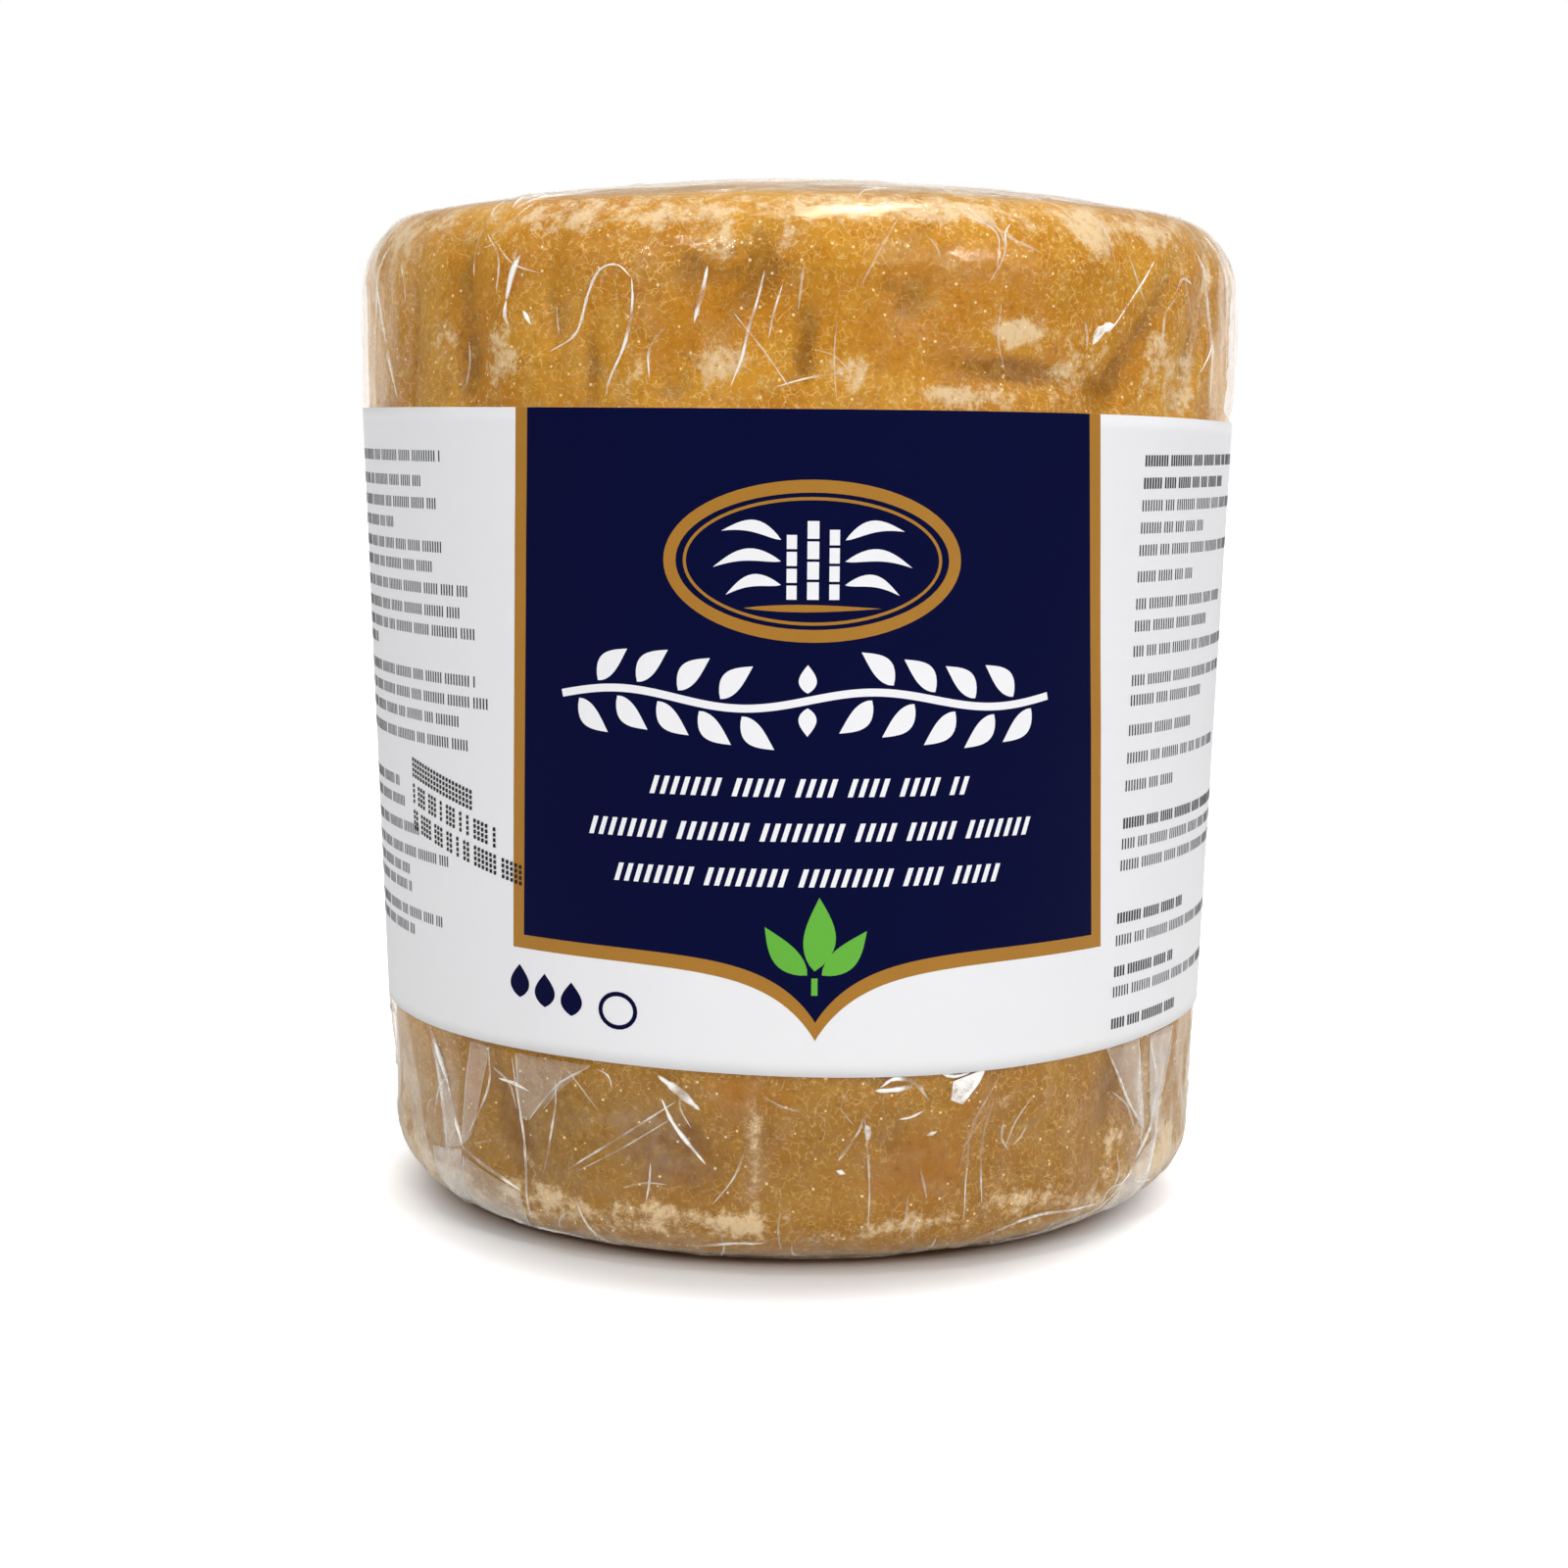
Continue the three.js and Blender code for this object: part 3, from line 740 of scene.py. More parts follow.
# Each crease: its corners, its width and height, and how white the film is along it, which is mostly a
# painted glint over the fold's milky whitening
CREASES = [
    ([(-33.8, 98.6), (-35.2, 96.6), (-36.2, 94.4)], 0.75, 0.22, 1),
    ([(-36.2, 94.4), (-36.4, 92.8), (-35.6, 91.8)], 0.4, 0.2, 0.8),
    ([(-33.6, 93.4), (-32.4, 92)], 0.45, 0.15, 1),
    ([(-30, 89.5), (-26.5, 91.1), (-24.8, 94.7), (-23.2, 97), (-21, 97.4), (-19.2, 96.2)], 0.26, 0.2, 0.7),
    ([(-19.2, 96.2), (-19.2, 93.8), (-20.2, 90.2), (-22, 87.1), (-22.8, 85.2)], 0.32, 0.22, 1.3),
    ([(-4, 96.9), (-4.8, 94.2), (-5.8, 91.5), (-6.5, 88.9), (-7.8, 86.2)], 0.3, 0.22, 1.2),
    ([(-2, 95.6), (-3, 92.9), (-3.5, 90.7)], 0.22, 0.16, 0.8),
    ([(-10.5, 97.3), (-11, 95.1), (-12, 92)], 0.42, 0.18, 0.75),
    ([(-7.5, 93), (-4, 89.5), (-1, 86)], 0.16, 0.14, 0.4),
    ([(-66.5, 97), (-62.8, 90.7), (-59.5, 85.2)], 0.26, 0.22, 0.5),
    ([(-63.2, 101), (-66, 96), (-69, 88)], 0.3, 0.22, 0.5),
    ([(36, 90.6), (37.2, 91.9), (39.4, 92.6)], 0.95, 0.2, 1.2),
    ([(38.5, 91.8), (43, 95.6), (47, 99)], 0.18, 0.15, 0.5),
    ([(58, 101), (61, 95), (62, 86)], 0.28, 0.22, 0.5),
    ([(66, 103), (69, 97), (70, 88)], 0.35, 0.25, 0.5),
    ([(51.5, 96), (53, 97.4), (55.5, 97)], 0.25, 0.16, 0.9),
    ([(-56.2, 18.2), (-54.2, 13.5), (-52.8, 8.3)], 0.24, 0.2, 0.6),
    ([(-56.8, 20.4), (-54.4, 17), (-52.4, 14.8)], 0.7, 0.22, 1),
    ([(-52.4, 14.8), (-51, 12.6), (-49.2, 10.2), (-48.8, 8.9)], 0.4, 0.25, 1.3),
    ([(-48.8, 8.9), (-45, 7.8), (-42, 7)], 0.3, 0.22, 0.6),
    ([(-46.5, 8.2), (-44, 7.6), (-40, 6.5), (-37.8, 5.8)], 0.3, 0.2, 1.1),
    ([(-42.8, 20), (-43, 16.2), (-47.2, 10.6)], 0.22, 0.18, 0.45),
    ([(-41, 17.3), (-38, 17.2), (-35.4, 16.7)], 0.35, 0.2, 1.2),
    ([(-38.2, 20), (-37.2, 14.6), (-36.8, 10.9), (-37, 5.2), (-37.8, 1)], 0.24, 0.2, 0.5),
    ([(-35.8, 13.6), (-31, 17.8), (-26, 20.3)], 0.2, 0.16, 0.45),
    ([(-31.2, 18.5), (-31.2, 15.9), (-32.5, 11.5), (-33.8, 8.3)], 0.2, 0.16, 0.4),
    ([(-30.5, 8.9), (-22.5, 13.2), (-14.5, 17.6)], 0.24, 0.18, 0.45),
    ([(-28.5, 9.2), (-22, 12.2), (-15.5, 15.6)], 0.16, 0.14, 0.35),
    ([(-17, 20), (-14, 18.4), (-11.6, 16.8)], 0.8, 0.25, 1.5),
    ([(-16.6, 17.7), (-14.8, 14.9), (-11, 11.2)], 0.42, 0.25, 1.4),
    ([(-50.5, 6.5), (-54, 1.1), (-56, -2.5)], 0.3, 0.25, 0.6),
    ([(-49.5, 2.2), (-44, 1.4), (-38, 0.6), (-30, -1)], 0.22, 0.2, 0.5),
    ([(-28.5, 6.2), (-26.8, 1.8), (-25, -2)], 0.22, 0.18, 0.4),
    ([(10.6, 19.3), (12.4, 20.1), (15, 19.6), (17.2, 17.6)], 0.45, 0.22, 1.4),
    ([(10, 19), (12.8, 19), (15, 19.2)], 0.6, 0.2, 1.2),
    ([(20.3, 17.6), (21.4, 17.2), (23, 18.6), (24.6, 20.4)], 0.55, 0.25, 1.4),
    ([(18.4, 20.4), (20.4, 19.9), (22.6, 20.2)], 0.5, 0.2, 1.2),
    ([(13.2, 15.9), (14.8, 16), (16.6, 16.6)], 0.22, 0.14, 0.9),
    ([(5.6, 11.9), (7.5, 13.9)], 0.35, 0.18, 1),
    ([(5.4, 10.9), (6.6, 10.6)], 0.5, 0.15, 1.3),
    ([(9, 15.6), (9.3, 14.8), (9.2, 13.8)], 0.6, 0.15, 0.9),
    ([(17, 14), (18.4, 14.4)], 0.6, 0.15, 0.9),
    ([(8.8, 16.7), (9.5, 10.2), (9.5, 5)], 0.2, 0.16, 0.3),
    ([(27.2, 20), (23.2, 15), (22.5, 9.6), (22.3, 5)], 0.22, 0.18, 0.45),
    ([(25.8, 17.3), (24.5, 13), (24.8, 6.5)], 0.2, 0.16, 0.4),
    ([(44.8, 20.5), (47.8, 17), (51, 13.3), (55.2, 9.9)], 0.28, 0.22, 0.6),
    ([(52.2, 20.6), (53.5, 12.9), (55, 10)], 0.24, 0.2, 0.5),
    ([(55.2, 20.3), (58.5, 14.9), (57.5, 9.9), (51.2, 5.7), (46.5, 2.2)], 0.28, 0.22, 0.6),
    ([(63, 20.2), (60.2, 11.7), (58, 6.7), (55, 1)], 0.28, 0.22, 0.55),
    ([(46.5, 3.2), (48.8, 5), (60, 3.5)], 0.28, 0.22, 0.5),
    ([(23, -1.5), (25.5, 2.2), (33.8, 4.1), (45.5, 3.4)], 0.28, 0.22, 0.55),
    ([(-13.5, 1.7), (-8, 2.6), (-3.5, 2.8)], 0.24, 0.2, 0.5),
]
# Zones that random creases fill: count, lowest and highest level, longest, mean width, how far from upright
CREASE_ZONES = [
    (60, 85.5, 100, 8, 0.15, 22),
    (50, 99, 110, 8, 0.15, 45),
    (60, 108, 140, 12, 0.14, 180),
    (110, -2, 20, 7, 0.16, 35),
]
# Each flap: its corners and how white it is. The corners run round it leftwards, seen from outside. The last
# flap's whiteness is a painted glint, and the others' is the milkiness of folded film.
FLAPS = [
    ([(-42.5, 20.3), (-46.5, 20.3), (-48.8, 9), (-46.5, 10.5)], 0.07),
    ([(-53.5, 17.5), (-56.5, 18.5), (-53, 8), (-48.9, 9)], 0.05),
    ([(-48.8, 8.6), (-57, 7.5), (-56.5, 0.5), (-49.5, 2.5)], 0.16),
    ([(-38, 5.6), (-48.5, 8), (-50, 0.5), (-38.5, 0.5)], 0.1),
    ([(-26, 20.4), (-37.5, 20.4), (-37, 14), (-36, 13.6)], 0.05),
    ([(52, 20.5), (45, 20.5), (52, 12), (55.5, 9.9)], 0.1),
    ([(62.5, 20.3), (55.2, 20.3), (57.6, 9.9), (58.5, 7)], 0.12),
    ([(58, 8.5), (51, 5.6), (47, 1.5), (58, 0.5)], 0.15),
    ([(46, 2.8), (24, -1), (30, -3), (45, 0)], 0.1),
    # This small facet is painted white as a glint
    ([(24.6, 20.5), (20.2, 19.4), (20, 17.5), (21.6, 17)], 1.6),
]


def smooth_path(corners):
    """A list of azimuths and levels along a soft curve through the corners"""
    corners = np.array(corners, float)
    padded = np.vstack([2 * corners[0] - corners[1], corners, 2 * corners[-1] - corners[-2]])
    path = []
    for i in range(1, len(padded) - 2):
        before, here, there, after = padded[i - 1 : i + 3]
        width = np.radians(there[0] - here[0]) * radius_at(here[1])
        steps = max(2, int(np.hypot(width, there[1] - here[1]) / CREASE_STEP))
        t = np.arange(steps)[:, None] / steps
        square = 2 * before - 5 * here + 4 * there - after
        cube = 3 * here - before - 3 * there + after
        path.append(0.5 * (2 * here + (there - before) * t + square * t**2 + cube * t**3))
    return np.vstack([*path, corners[-1:]])


def unit(vectors):
    return vectors / np.maximum(np.linalg.norm(vectors, axis=-1, keepdims=True), 1e-9)


def crease(corners, width, height, white, rng):
    """Points, faces and whiteness of one welt: half round, pointed at both ends, uneven along its length.
    Its whiteness is mostly a painted glint, in broken stretches.
    """
    path = smooth_path(corners)
    middle = film_at(path[:, 0], path[:, 1])
    outward = unit(surface(path[:, 0], path[:, 1], 1.0) - surface(path[:, 0], path[:, 1]))
    forward = unit(np.gradient(middle, axis=0))
    aside = unit(np.cross(outward, forward))
    share = np.linspace(0, 1, len(path))
    taper = np.sqrt(np.clip(np.sin(math.pi * share), 0, 1)) * rng.uniform(0.7, 1.25, len(path)) + 0.02
    section = [(-0.5, -0.12), (-0.28, 0.7), (0, 1), (0.28, 0.7), (0.5, -0.12)]
    rails = [middle + aside * (x * width * taper)[:, None] + outward * (y * height * taper)[:, None]
             for x, y in section]
    points = np.stack(rails, axis=1)
    index = np.arange(len(path) * len(section)).reshape(len(path), -1)
    faces = grid_quads(np.column_stack([index, index[:, 0]])).tolist()
    faces += [index[0, ::-1].tolist(), index[-1].tolist()]
    # Painted glints: the whiteness runs along the welt in broken stretches, over its milky whitening
    glint_and_whitening = 1.7 * white * smoothstep(0.22, 0.60, soft_noise(middle, 2.2, 33))
    return points.reshape(-1, 3), faces, np.repeat(glint_and_whitening, len(section))


def random_creases(rng):
    """The path, width, height and whiteness of each crease that fills the zones. The whiteness is partly a
    painted glint.
    """
    for count, low, high, longest, mean_width, spread in CREASE_ZONES:
        for _ in range(count):
            azimuth, level = rng.uniform(0, 360), rng.uniform(low, high)
            length, lean = rng.uniform(0.3, 1) * longest, math.radians(rng.normal(0, spread))
            bend = rng.normal(0, 0.12) * length
            radius = max(radius_at(level), 6)
            corners = []
            for t, side in ((-0.5, 0), (0, bend), (0.5, 0)):
                up = t * length * math.cos(lean) + side * math.sin(lean)
                over = t * length * math.sin(lean) - side * math.cos(lean)
                corners.append((azimuth + math.degrees(over / radius), min(level + up, TOP_LEVEL - 5)))
            hidden = any(BAND_BOTTOM - 0.5 < corner[1] < BAND_TOP + 0.8 for corner in corners)
            if not hidden:
                size = mean_width * rng.uniform(0.6, 1.6)
                yield corners, size, 0.75 * size, 0.5 * rng.random() ** 2 + 0.12


def join_pieces(name, parts):
    """One mesh from many lists of points and faces, and the whiteness of each point where it is given, which
    holds milky film and painted glints
    """
    points, faces, haze_and_glint = [], [], []
    for part_points, part_faces, *part_haze_and_glint in parts:
        haze_and_glint.extend(value for values in part_haze_and_glint for value in values)
        start = len(points)
        points.extend((np.asarray(part_points) * MM).tolist())
        faces.extend(tuple(start + i for i in face) for face in part_faces)
    piece = new_piece(name, points, faces)
    if haze_and_glint:
        layer = piece.data.attributes.new("haze_and_glint", "FLOAT", "POINT")
        layer.data.foreach_set("value", np.array(haze_and_glint, np.float32))
    return piece


def plate(top, under):
    """Points and faces of a thin plate between two equal grids of points, closed round its rim"""
    index = np.arange(top.shape[0] * top.shape[1]).reshape(top.shape[:2])
    quads = grid_quads(index)
    faces = quads.tolist() + (index.size + quads[:, ::-1]).tolist()
    rim = [*index[0, :], *index[1:, -1], *index[-1, -2::-1], *index[-2:0:-1, 0]]
    for here, there in zip(rim, rim[1:] + rim[:1]):
        faces.append((here, index.size + here, index.size + there, there))
    return np.vstack([top.reshape(-1, 3), under.reshape(-1, 3)]), faces


def flap(corners, white):
    """Points, faces and whiteness of one folded flap: a thin plate on the film between four corners"""
    a, b, c, d = (np.array(corner, float) for corner in corners)
    u, v = np.meshgrid(np.linspace(0, 1, FLAP_POINTS), np.linspace(0, 1, FLAP_POINTS))
    spread = ((1 - u) * (1 - v))[..., None] * a + (u * (1 - v))[..., None] * b
    spread = spread + (u * v)[..., None] * c + ((1 - u) * v)[..., None] * d
    swell = FLAP_LIFT + 0.10 * np.sin(math.pi * u) * np.sin(math.pi * v)
    top = film_at(spread[..., 0], spread[..., 1], swell)
    under = film_at(spread[..., 0], spread[..., 1], swell - FLAP_THICKNESS)
    points, faces = plate(top, under)
    return points, faces, np.full(len(points), white)


def and_on_back(placed):
    """What is placed on the front, and each once more on the back"""
    return placed + [([(x + BACK_TURN, level) for x, level in path], *rest) for path, *rest in placed]


crease_rng = np.random.default_rng(31)
all_creases = and_on_back(CREASES) + list(random_creases(crease_rng))
creases = join_pieces("film_creases", [crease(*each, crease_rng) for each in all_creases])
creases.data.materials.append(film_material("creased_film", 0.05, FILM_FOLD_AND_GLINT_WHITE))
flaps = join_pieces("film_flaps", [flap(*each) for each in and_on_back(FLAPS)])
flaps.data.materials.append(film_material("folded_film", 0.02, FILM_FOLD_AND_GLINT_WHITE))
for piece in (creases, flaps):
    piece.visible_shadow = False
    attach(piece, "root")
    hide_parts("wrapped_block")

# The paper band is a strip of coated white paper wrapped once round the block over the film. Its end laps
# over its start at the back and is glued down there.
BAND_PROUD = 0.1
PAPER_THICKNESS = 0.18
LAP_GAP = 0.04
LAP_START = -182
LAP_END = 190
PAPER_COLUMNS = 340
PAPER_ROWS = 44
BAND_DIP = 0.9
BAND_DIP_AZIMUTH = 85
BAND_DIP_REACH = 40


def paper_edges(azimuth):
    """Heights of the band's lower and upper edge, which wander a little as it was wrapped by hand"""
    upper = BAND_TOP - BAND_DIP * np.exp(-((turn_from(BAND_DIP_AZIMUTH, azimuth) / BAND_DIP_REACH) ** 2))
    lower = BAND_BOTTOM + 0.35 * np.sin(np.radians(3.1 * azimuth + 190)) * np.cos(np.radians(azimuth))
    return lower, upper


def on_paper(azimuth, share, lift=0.0):
    """Points on the band, at a share of the way from its lower to its upper edge, or lifted off it"""
    azimuth, share = np.broadcast_arrays(azimuth, share)
    lower, upper = paper_edges(azimuth)
    height = lower + (upper - lower) * share
    smooth = surface(azimuth, height)
    wave = 0.10 * (soft_noise(smooth, 17, 51) - 0.5) + 0.05 * (soft_noise(smooth, 6, 52) - 0.5)
    lap = (PAPER_THICKNESS + LAP_GAP) * smoothstep(LAP_END - 20, LAP_END - 12, azimuth)
    return surface(azimuth, height, BAND_PROUD - 0.08 + wave + lap + lift)


def paper_band():
    azimuths = np.linspace(LAP_START, LAP_END, PAPER_COLUMNS + 1)
    azimuth, share = np.meshgrid(azimuths, np.linspace(0, 1, PAPER_ROWS + 1))
    sides = on_paper(azimuth, share), on_paper(azimuth, share, -PAPER_THICKNESS)
    return join_pieces("paper_label", [plate(*sides)])


def paper_grain_group():
    """The faint cloudiness and tooth of coated paper, which shows through every ink on it"""
    sockets = {"Place": "NodeSocketVector", "Colour": "NodeSocketColor", "Contrast": "NodeSocketFloat"}
    outputs = {"Colour": "NodeSocketColor", "Height": "NodeSocketFloat"}
    group, given, out = new_group("paper_grain", sockets, outputs)
    cloud = noise(group, given.outputs["Place"], 5, 3.0)
    tooth = noise(group, given.outputs["Place"], 0.3, 3.0, 0.7)
    both = plus(group, times(group, cloud, 0.5), times(group, tooth, 0.5))
    light = plus(group, 1.0, times(group, minus(group, both, 0.5), given.outputs["Contrast"]))
    inputs = {0: given.outputs["Colour"], "Scale": light}
    shaded = add_node(group, "ShaderNodeVectorMath", inputs, operation="SCALE").outputs[0]
    set_inputs(group, out, {"Colour": shaded, "Height": both})
    return group


paper_grain = paper_grain_group()


def printed_material(name, tone, contrast, roughness, specular):
    material, tree, shader = new_material(name)
    inputs = {"Place": place_in_mm(tree), "Colour": tone, "Contrast": contrast}
    grain = add_node(tree, "ShaderNodeGroup", inputs, node_tree=paper_grain).outputs
    inputs = {
        "Base Color": grain["Colour"],
        "Normal": bumps(tree, grain["Height"], 0.12, 0.1),
        "Roughness": roughness,
        "Specular IOR Level": specular,
    }
    set_inputs(tree, shader, inputs)
    return material


label = paper_band()
label.data.materials.append(printed_material("white_paper", colour(236, 236, 238), 0.05, 0.5, 0.3))
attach(label, "root")
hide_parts("paper_band")

# The print is thin ink on the paper: a dark blue panel edged in gold, white and gold ornament on it, a green
# sprig, and rows of small dark marks. Each ink is one thin piece of shapes laid on the paper.
INK_LIFT = 0.02
NAVY = colour(5, 9, 52)
GOLD = colour(168, 116, 32)
WHITE = colour(240, 240, 243)
GREEN = colour(98, 178, 56)
DARK = colour(52, 52, 56)
STAMP = colour(25, 25, 28)
# The panel: its left and right edges at the top and at the bottom corners, and its point, each across and up
PANEL_TOP_LEFT, PANEL_TOP_RIGHT = -28.8, 31.1
PANEL_LOW_LEFT, PANEL_LOW_RIGHT = -30.0, 33.6
PANEL_CORNER_HEIGHT = 31.3
PANEL_POINT = (2.0, 24.1)
PANEL_SWEEP = 4.6
PANEL_EDGE = 1.45


def on_label(across, height, lift):
    """Points of ink, by distance across from the front's middle and by height"""
    across, height = np.broadcast_arrays(np.asarray(across, float), np.asarray(height, float))
    azimuth = np.degrees(across / side_radius(height))
    lower, upper = paper_edges(azimuth)
    return on_paper(azimuth, (height - lower) / (upper - lower), lift)


def ribbon(first, second, rows=1):
    """Flat points and faces of the stretch between two lines of the same number of points"""
    first, second = np.asarray(first, float), np.asarray(second, float)
    share = np.linspace(0, 1, rows + 1)[:, None, None]
    points = first * (1 - share) + second * share
    index = np.arange(points.shape[0] * points.shape[1]).reshape(points.shape[:2])
    return points.reshape(-1, 2), grid_quads(index).tolist()


def ink(name, shapes, layer, material):
    """One piece of ink from flat shapes. A higher layer lies over a lower one."""
    parts = []
    for points, faces in shapes:
        parts.append((on_label(points[:, 0], points[:, 1], INK_LIFT * layer), faces))
    piece = join_pieces(name, parts)
    piece.data.materials.append(material)
    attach(piece, "root")
    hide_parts("paper_band")
    return piece


def leaf(base, tip, fat, bow=0.0):
    """A pointed leaf from its base to its tip, fat across its middle, bowed to one side"""
    base, tip = np.array(base, float), np.array(tip, float)
    share = np.linspace(0, 1, 14)[:, None]
    along = tip - base
    aside = np.array([-along[1], along[0]]) / np.hypot(*along)
    middle = base + along * share + aside * bow * np.sin(math.pi * share)
    half = fat / 2 * np.sin(math.pi * share**0.8)
    return ribbon(middle - aside * half, middle + aside * half, 4)


def ring(centre, half_width, half_height, thick):
    """An oval line of ink of even width"""
    turn = np.linspace(0, 2 * math.pi, 25 if half_width < 3 else 73)
    circle = np.column_stack([np.cos(turn), np.sin(turn)])
    reach = np.array([half_width, half_height])
    return ribbon(centre + circle * reach, centre + circle * (reach - thick))


def stroke(path, thick):
    """A line of ink of even width along a path"""
    path = np.asarray(path, float)
    forward = unit(np.gradient(path, axis=0))
    aside = np.column_stack([-forward[:, 1], forward[:, 0]]) * thick / 2
    return ribbon(path - aside, path + aside)


def panel(inset):
    """The panel's shape, taken in by inset on every side but the top"""
    out = np.linspace(0, 1, 38) ** 1.5
    low_left, low_right = PANEL_LOW_LEFT + inset, PANEL_LOW_RIGHT - inset
    top_left, top_right = PANEL_TOP_LEFT + inset, PANEL_TOP_RIGHT - inset
    left = PANEL_POINT[0] + (low_left - PANEL_POINT[0]) * out[:0:-1]
    right = PANEL_POINT[0] + (low_right - PANEL_POINT[0]) * out
    low_x = np.concatenate([left, right])
    top_x = top_left + (top_right - top_left) * (low_x - low_left) / (low_right - low_left)
    sweep = np.exp(-((np.abs(low_x - PANEL_POINT[0]) / PANEL_SWEEP) ** 0.95))
    low_y = PANEL_CORNER_HEIGHT + 0.95 * inset - (PANEL_CORNER_HEIGHT - PANEL_POINT[1]) * sweep
    low_y += 0.3 * inset * sweep
    upper = paper_edges(np.degrees(top_x / side_radius(BAND_TOP)))[1]
    return ribbon(np.column_stack([low_x, low_y]), np.column_stack([top_x, upper]), 36)


MEDALLION_CENTRE = (1.4, 70.2)


def medallion_shapes():
    """Gold oval frame with a small gold ground line, in the upper part of the panel"""
    x, y = MEDALLION_CENTRE
    ground = leaf((x - 6.5, y - 4.4), (x + 6.5, y - 4.4), 0.7)
    return [ring(MEDALLION_CENTRE, 14.2, 7.6, 1.2), ring(MEDALLION_CENTRE, 12.3, 6.0, 0.3), ground]


def cane_shapes():
    """White cane stalks in joints, with long leaves that arch off to both sides, inside the oval"""
    x, y = MEDALLION_CENTRE
    shapes = []
    for off, top, thick in ((-2.0, 2.6, 0.95), (0, 3.9, 1.1), (2.0, 3.1, 0.95)):
        joints = np.linspace(-3.7, top, 5)
        for low, high in zip(joints[:-1], joints[1:]):
            shapes.append(stroke([(x + off, y + low + 0.13), (x + off, y + high - 0.13)], thick))
    for side in (-1, 1):
        for low, reach, drop in ((2.6, 8.6, 0.2), (0.6, 9.4, -1.2), (-1.6, 8.2, -1.6)):
            base = (x + side * 3.0, y + low - 0.6)
            shapes.append(leaf(base, (x + side * reach, y + low + drop), 1.15, 0.9 * side))
    return shapes


def stem_height(across):
    return 57.1 + 0.8 * np.sin((across - 1) / 3.9)


def garland_shapes():
    """A bold white garland across the middle of the panel: pointed leaves on both sides of a waving stem"""
    across = np.linspace(-23.5, 25.4, 80)
    shapes = [stroke(np.column_stack([across, stem_height(across)]), 0.75)]
    for i, x in enumerate(np.arange(-21.6, 24, 2.05)):
        if abs(x - 1) < 4.7:
            continue
        side = 1 if i % 2 else -1
        heading = 1 if x < 1 else -1
        base = (x, stem_height(x) + side * 0.75)
        tip = (x + heading * 3.1, stem_height(x) + side * 3.9)
        shapes.append(leaf(base, tip, 2.0, 0.4 * side * heading))
    for side in (-1, 1):
        middle = stem_height(1.0)
        shapes.append(leaf((1.0, middle + side * 0.7), (1.0, middle + side * 3.4), 1.7))
    return shapes


def rope_row(left, right, low, tall, thick, pitch, lean, rng):
    """A row of equal leaning ticks in clusters, like a stretch of rope border"""
    shapes = []
    x = left
    while x < right - pitch:
        for _ in range(rng.integers(4, 11)):
            if x + thick + lean > right:
                break
            foot = [(x, low), (x + thick, low)]
            head = [(x + lean, low + tall), (x + lean + thick, low + tall)]
            shapes.append(ribbon(foot, head))
            x += pitch
        x += 0.9 * pitch
    return shapes


def sprig_shapes():
    """A green sprig of three leaves"""
    return [
        leaf((1.9, 31.0), (2.3, 38.2), 3.1, -0.3),
        leaf((1.2, 30.6), (-2.9, 35.3), 2.4, 0.4),
        leaf((2.6, 30.6), (6.9, 34.9), 2.4, -0.4),
        stroke([(1.9, 28.6), (1.9, 30.3)], 0.6),
    ]


def quantity_shapes():
    """Dark blue lozenges and a ring, to the left under the panel"""
    places = ((-29.2, 27.9), (-26.0, 27.3), (-22.8, 26.8))
    lozenges = [leaf((x, y - 1.7), (x, y + 1.7), 2.5) for x, y in places]
    return [*lozenges, ring((-17.6, 26.2), 2.1, 1.9, 0.45)]


# Each block of small print: its side that is even, its lines as height and reach, and which of them are bold
LEFT_PRINT = [
    (79.5, -39.6), (77.0, -43.7), (74.8, -40.8), (72.7, -50.4), (70.5, -39.9), (68.5, -40.8),
    (66.3, -35.7), (64.1, -36.9), (62.1, -34.6), (60.3, -58.0), (57.4, -34.6), (55.3, -33.0),
    (53.2, -37.3), (50.9, -36.0), (45.7, -51.0), (43.7, -48.9), (41.1, -45.7), (38.6, -39.6),
    (36.6, -48.5), (34.8, -48.0), (32.1, -41.4), (30.3, -47.8),
]
RIGHT_PRINT = [
    (79.6, 66), (77.4, 58), (75.2, 70), (73.0, 52), (70.8, 66), (68.2, 49), (65.5, 60), (63.3, 54),
    (60.8, 66), (57.9, 62), (55.9, 53), (52.9, 50), (50.1, 60), (47.3, 46), (43.5, 68), (41.4, 66),
    (39.2, 72), (33.8, 50), (31.5, 66), (28.3, 48), (26.2, 62), (22.9, 50),
]
RIGHT_BOLD = (79.6, 77.4, 43.5, 33.8, 28.3, 22.9)
BAR_WIDTHS = [0.33, 0.33, 0.66, 0.99]
BARS_WIDTH = 28
BARS_HEIGHT = 15


def small_line(left, right, height, bold, rng):
    """A line of equal upright ticks in clusters, which stands for a line of small print"""
    return rope_row(left, right, height - 0.55, 1.1, 0.30 if bold else 0.21, 0.47, 0.0, rng)


def small_print(rng):
    shapes = []
    for height, reach in LEFT_PRINT:
        shapes += small_line(-76, reach, height, False, rng)
    for height, reach in RIGHT_PRINT:
        start = 35.7 + 2.3 * (height - 24) / 55.6
        shapes += small_line(start, reach, height, height in RIGHT_BOLD, rng)
    for left, right, low in ((80, 112, 50), (-114, -82, 26)):
        for i, height in enumerate(np.arange(79, low, -2.7)):
            shapes += small_line(left, right - rng.uniform(0, 14), height, i % 6 == 0, rng)
    return shapes


CODE_CORNER = (-46.9, 46.6)
CODE_LEAN = math.radians(-11)
CODE_ROW = 2.75
CODE_DOT_HEIGHT = 0.38
CODE_DOT_WIDTH = 0.36
CODE_DOT_PITCH = 0.55
CODE_STEPS = [0.58, 0.58, 0.58, 1.16]


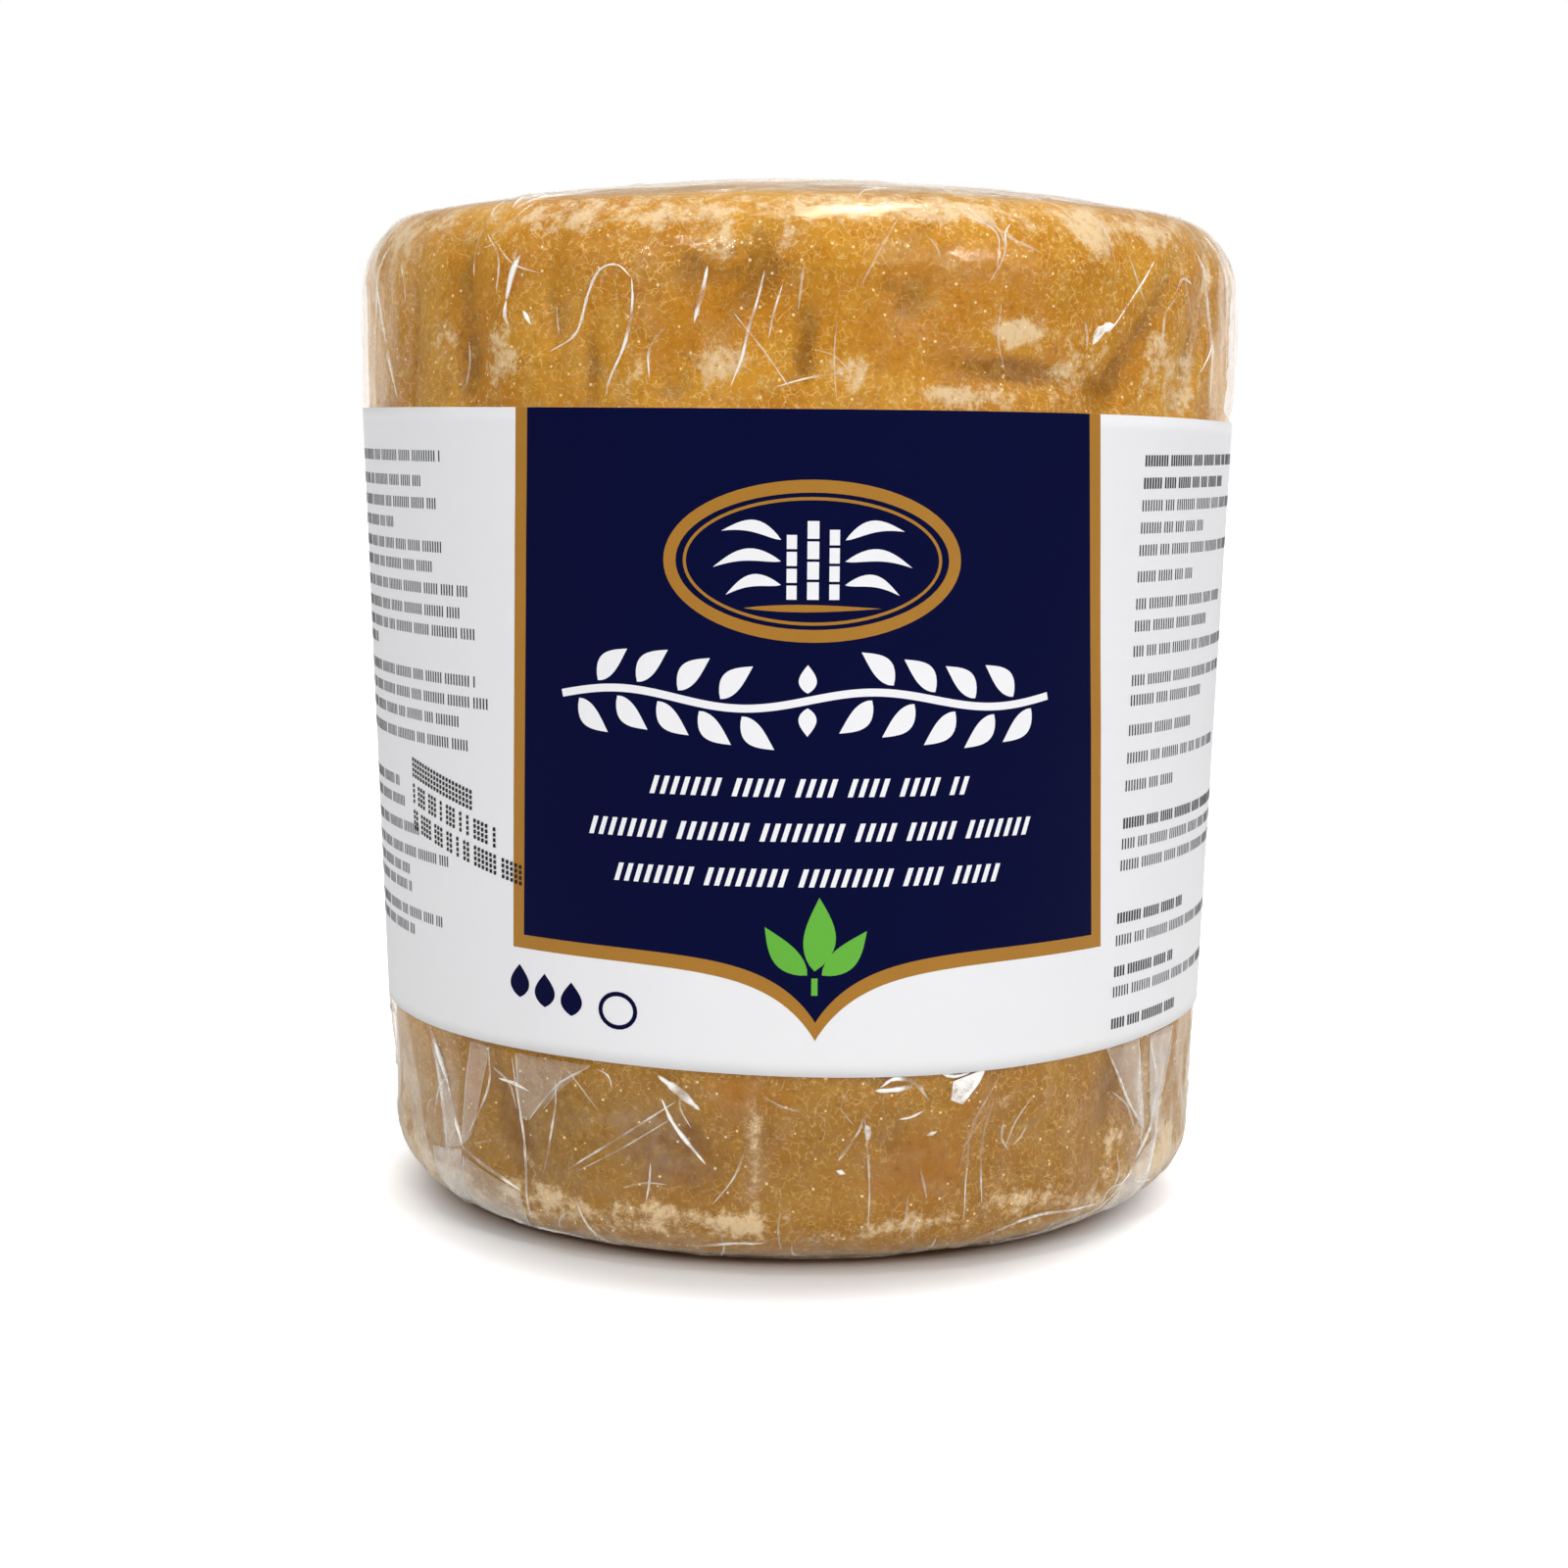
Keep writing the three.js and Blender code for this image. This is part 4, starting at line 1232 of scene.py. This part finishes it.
def stamped_code(rng):
    """Three leaning rows of clustered columns of dots, put on by an ink jet after the label was printed"""
    lean = math.tan(CODE_LEAN)
    left, low = CODE_CORNER
    shapes = []
    for row, count in enumerate((20, 18, 25)):
        x = 0.0
        for _ in range(count):
            for dot_y in range(4):
                y = low - CODE_ROW * row + CODE_DOT_PITCH * dot_y + x * lean
                dot = [(left + x, y), (left + x, y + CODE_DOT_HEIGHT)]
                shapes.append(stroke(dot, CODE_DOT_WIDTH))
            x += rng.choice(CODE_STEPS)
    return shapes


def barcode_shapes(left, low, rng):
    """Plain upright bars of uneven width"""
    shapes = []
    x = left
    while x < left + BARS_WIDTH:
        wide = rng.choice(BAR_WIDTHS)
        foot = [(x, low), (x + wide, low)]
        head = [(x, low + BARS_HEIGHT), (x + wide, low + BARS_HEIGHT)]
        shapes.append(ribbon(foot, head, 8))
        x += wide + rng.choice(BAR_WIDTHS)
    return shapes


print_rng = np.random.default_rng(77)
small_shapes = small_print(print_rng) + barcode_shapes(84, 28, print_rng)
white_marks = []
for low, left, right in ((47.9, -14.2, 17.7), (43.6, -20.6, 24.1), (39.2, -17.9, 21.1)):
    white_marks += rope_row(left, right, low, 1.75, 0.5, 1.02, 0.55, print_rng)

gold_ink = printed_material("gold_ink", GOLD, 0.25, 0.42, 0.3)
white_ink = printed_material("white_ink", WHITE, 0.04, 0.45, 0.25)
navy_ink = printed_material("navy_ink", NAVY, 0.35, 0.42, 0.04)
ink("gold_panel_edge", [panel(0)], 1, gold_ink)
ink("navy_panel", [panel(PANEL_EDGE)], 2, navy_ink)
ink("gold_medallion", medallion_shapes(), 3, gold_ink)
ink("white_ornament", cane_shapes() + garland_shapes() + white_marks, 3, white_ink)
ink("green_sprig", sprig_shapes(), 3, printed_material("green_ink", GREEN, 0.15, 0.42, 0.25))
ink("navy_quantity_marks", quantity_shapes(), 1, navy_ink)
ink("small_print", small_shapes, 1, printed_material("dark_ink", DARK, 0.2, 0.5, 0.2))
ink("stamped_code", stamped_code(print_rng), 3, printed_material("stamp_ink", STAMP, 0.2, 0.5, 0.2))

# The block stands on a white floor. Its colour darkens to a warm brown close round the foot as a painted
# contact shadow, and it glows for the camera outside an oval round the block, so that the block's shadow
# ends at that oval. A small light straight above gives the bright line on the shoulder, a wide one fills the
# top, two large soft ones light the front, and two small hard ones give the glints. At its edges the film
# mirrors a low white wall far behind, and the room beyond is white.
FLOOR_SIZE = 8.0
FLOOR_WHITE = colour(238, 238, 238)
# The floor's colour close round the foot, a painted contact shadow
FLOOR_PAINTED_CONTACT_SHADOW = colour(150, 108, 62)
CONTACT_SHADE_START = 37
CONTACT_SHADE_END = 43.5
SHADOW_CENTRE = (-2, -12, 0)
SHADOW_START = 33
SHADOW_END = 52
ROOM_LIGHT = 0.38
PLAIN_WHITE = (1, 1, 1, 1)


def floor():
    """White to the horizon: its own light fills it beyond the block's shadow, and only for the camera. Close
    round the foot its colour is a painted contact shadow.
    """
    half = FLOOR_SIZE / 2
    corners = [(-half, -half, 0), (half, -half, 0), (half, half, 0), (-half, half, 0)]
    piece = new_piece("floor", corners, [(0, 1, 2, 3)])
    material, tree, shader = new_material("white_floor")
    place = place_in_mm(tree)
    from_axis = add_node(tree, "ShaderNodeVectorMath", {0: place}, operation="LENGTH").outputs["Value"]
    # Painted contact shadow: the floor's colour darkens close round the foot
    near = ramp_between(tree, from_axis, CONTACT_SHADE_END, CONTACT_SHADE_START)
    inputs = {0: place, 1: SHADOW_CENTRE}
    away = add_node(tree, "ShaderNodeVectorMath", inputs, operation="DISTANCE").outputs["Value"]
    seen = add_node(tree, "ShaderNodeLightPath").outputs["Is Camera Ray"]
    inputs = {
        "Base Color": blend_colours(tree, near, FLOOR_WHITE, FLOOR_PAINTED_CONTACT_SHADOW),
        "Emission Strength": times(tree, ramp_between(tree, away, SHADOW_START, SHADOW_END), seen),
        "Emission Color": PLAIN_WHITE,
        "Roughness": 0.9,
        "Specular IOR Level": 0.1,
    }
    set_inputs(tree, shader, inputs)
    piece.data.materials.append(material)


def softbox(name, place, target, width, height, brightness):
    """A rectangular light that faces its target. Brightness is the radiance of its face."""
    data = bpy.data.lights.new(name, "AREA")
    data.shape = "RECTANGLE"
    data.size, data.size_y = width, height
    data.energy = brightness * math.pi * width * height
    lamp = bpy.data.objects.new(name, data)
    scene.collection.objects.link(lamp)
    facing = (Vector(place) - Vector(target)).to_track_quat("Z", "Y")
    lamp.matrix_world = Matrix.Translation(place) @ facing.to_matrix().to_4x4()


def room():
    """An even soft light from all round, and plain white where the camera looks past everything"""
    world = bpy.data.worlds.new("room")
    scene.world = world
    world.use_nodes = True
    tree = world.node_tree
    background = next(node for node in tree.nodes if node.type == "BACKGROUND")
    seen = add_node(tree, "ShaderNodeLightPath").outputs["Is Camera Ray"]
    strength = calculate(tree, "MAXIMUM", ROOM_LIGHT, seen)
    set_inputs(tree, background, {"Strength": strength, "Color": PLAIN_WHITE})


floor()
softbox("overhead", (0.04, -0.02, 0.65), (0, 0, 0.1), 0.34, 0.085, 19)
softbox("wide_overhead", (0.0, 0.2, 1.4), (0, 0, 0.1), 1.4, 1.2, 0.36)
softbox("front_left", (-0.85, -1.00, 0.75), (0, 0, 0.05), 1.3, 1.0, 0.74)
softbox("front_right", (0.80, -1.00, 0.70), (0, 0, 0.05), 1.3, 1.0, 1.25)
softbox("back_wall", (0.0, 1.6, 0.2), (0, 0, 0.2), 3.6, 0.45, 0.9)
softbox("glint_left", (-0.42, -0.75, 0.62), (0, 0, 0.05), 0.09, 0.09, 42)
softbox("glint_right", (0.62, -0.60, 0.50), (0, 0, 0.05), 0.09, 0.09, 42)
room()
scene.view_settings.view_transform = "Standard"
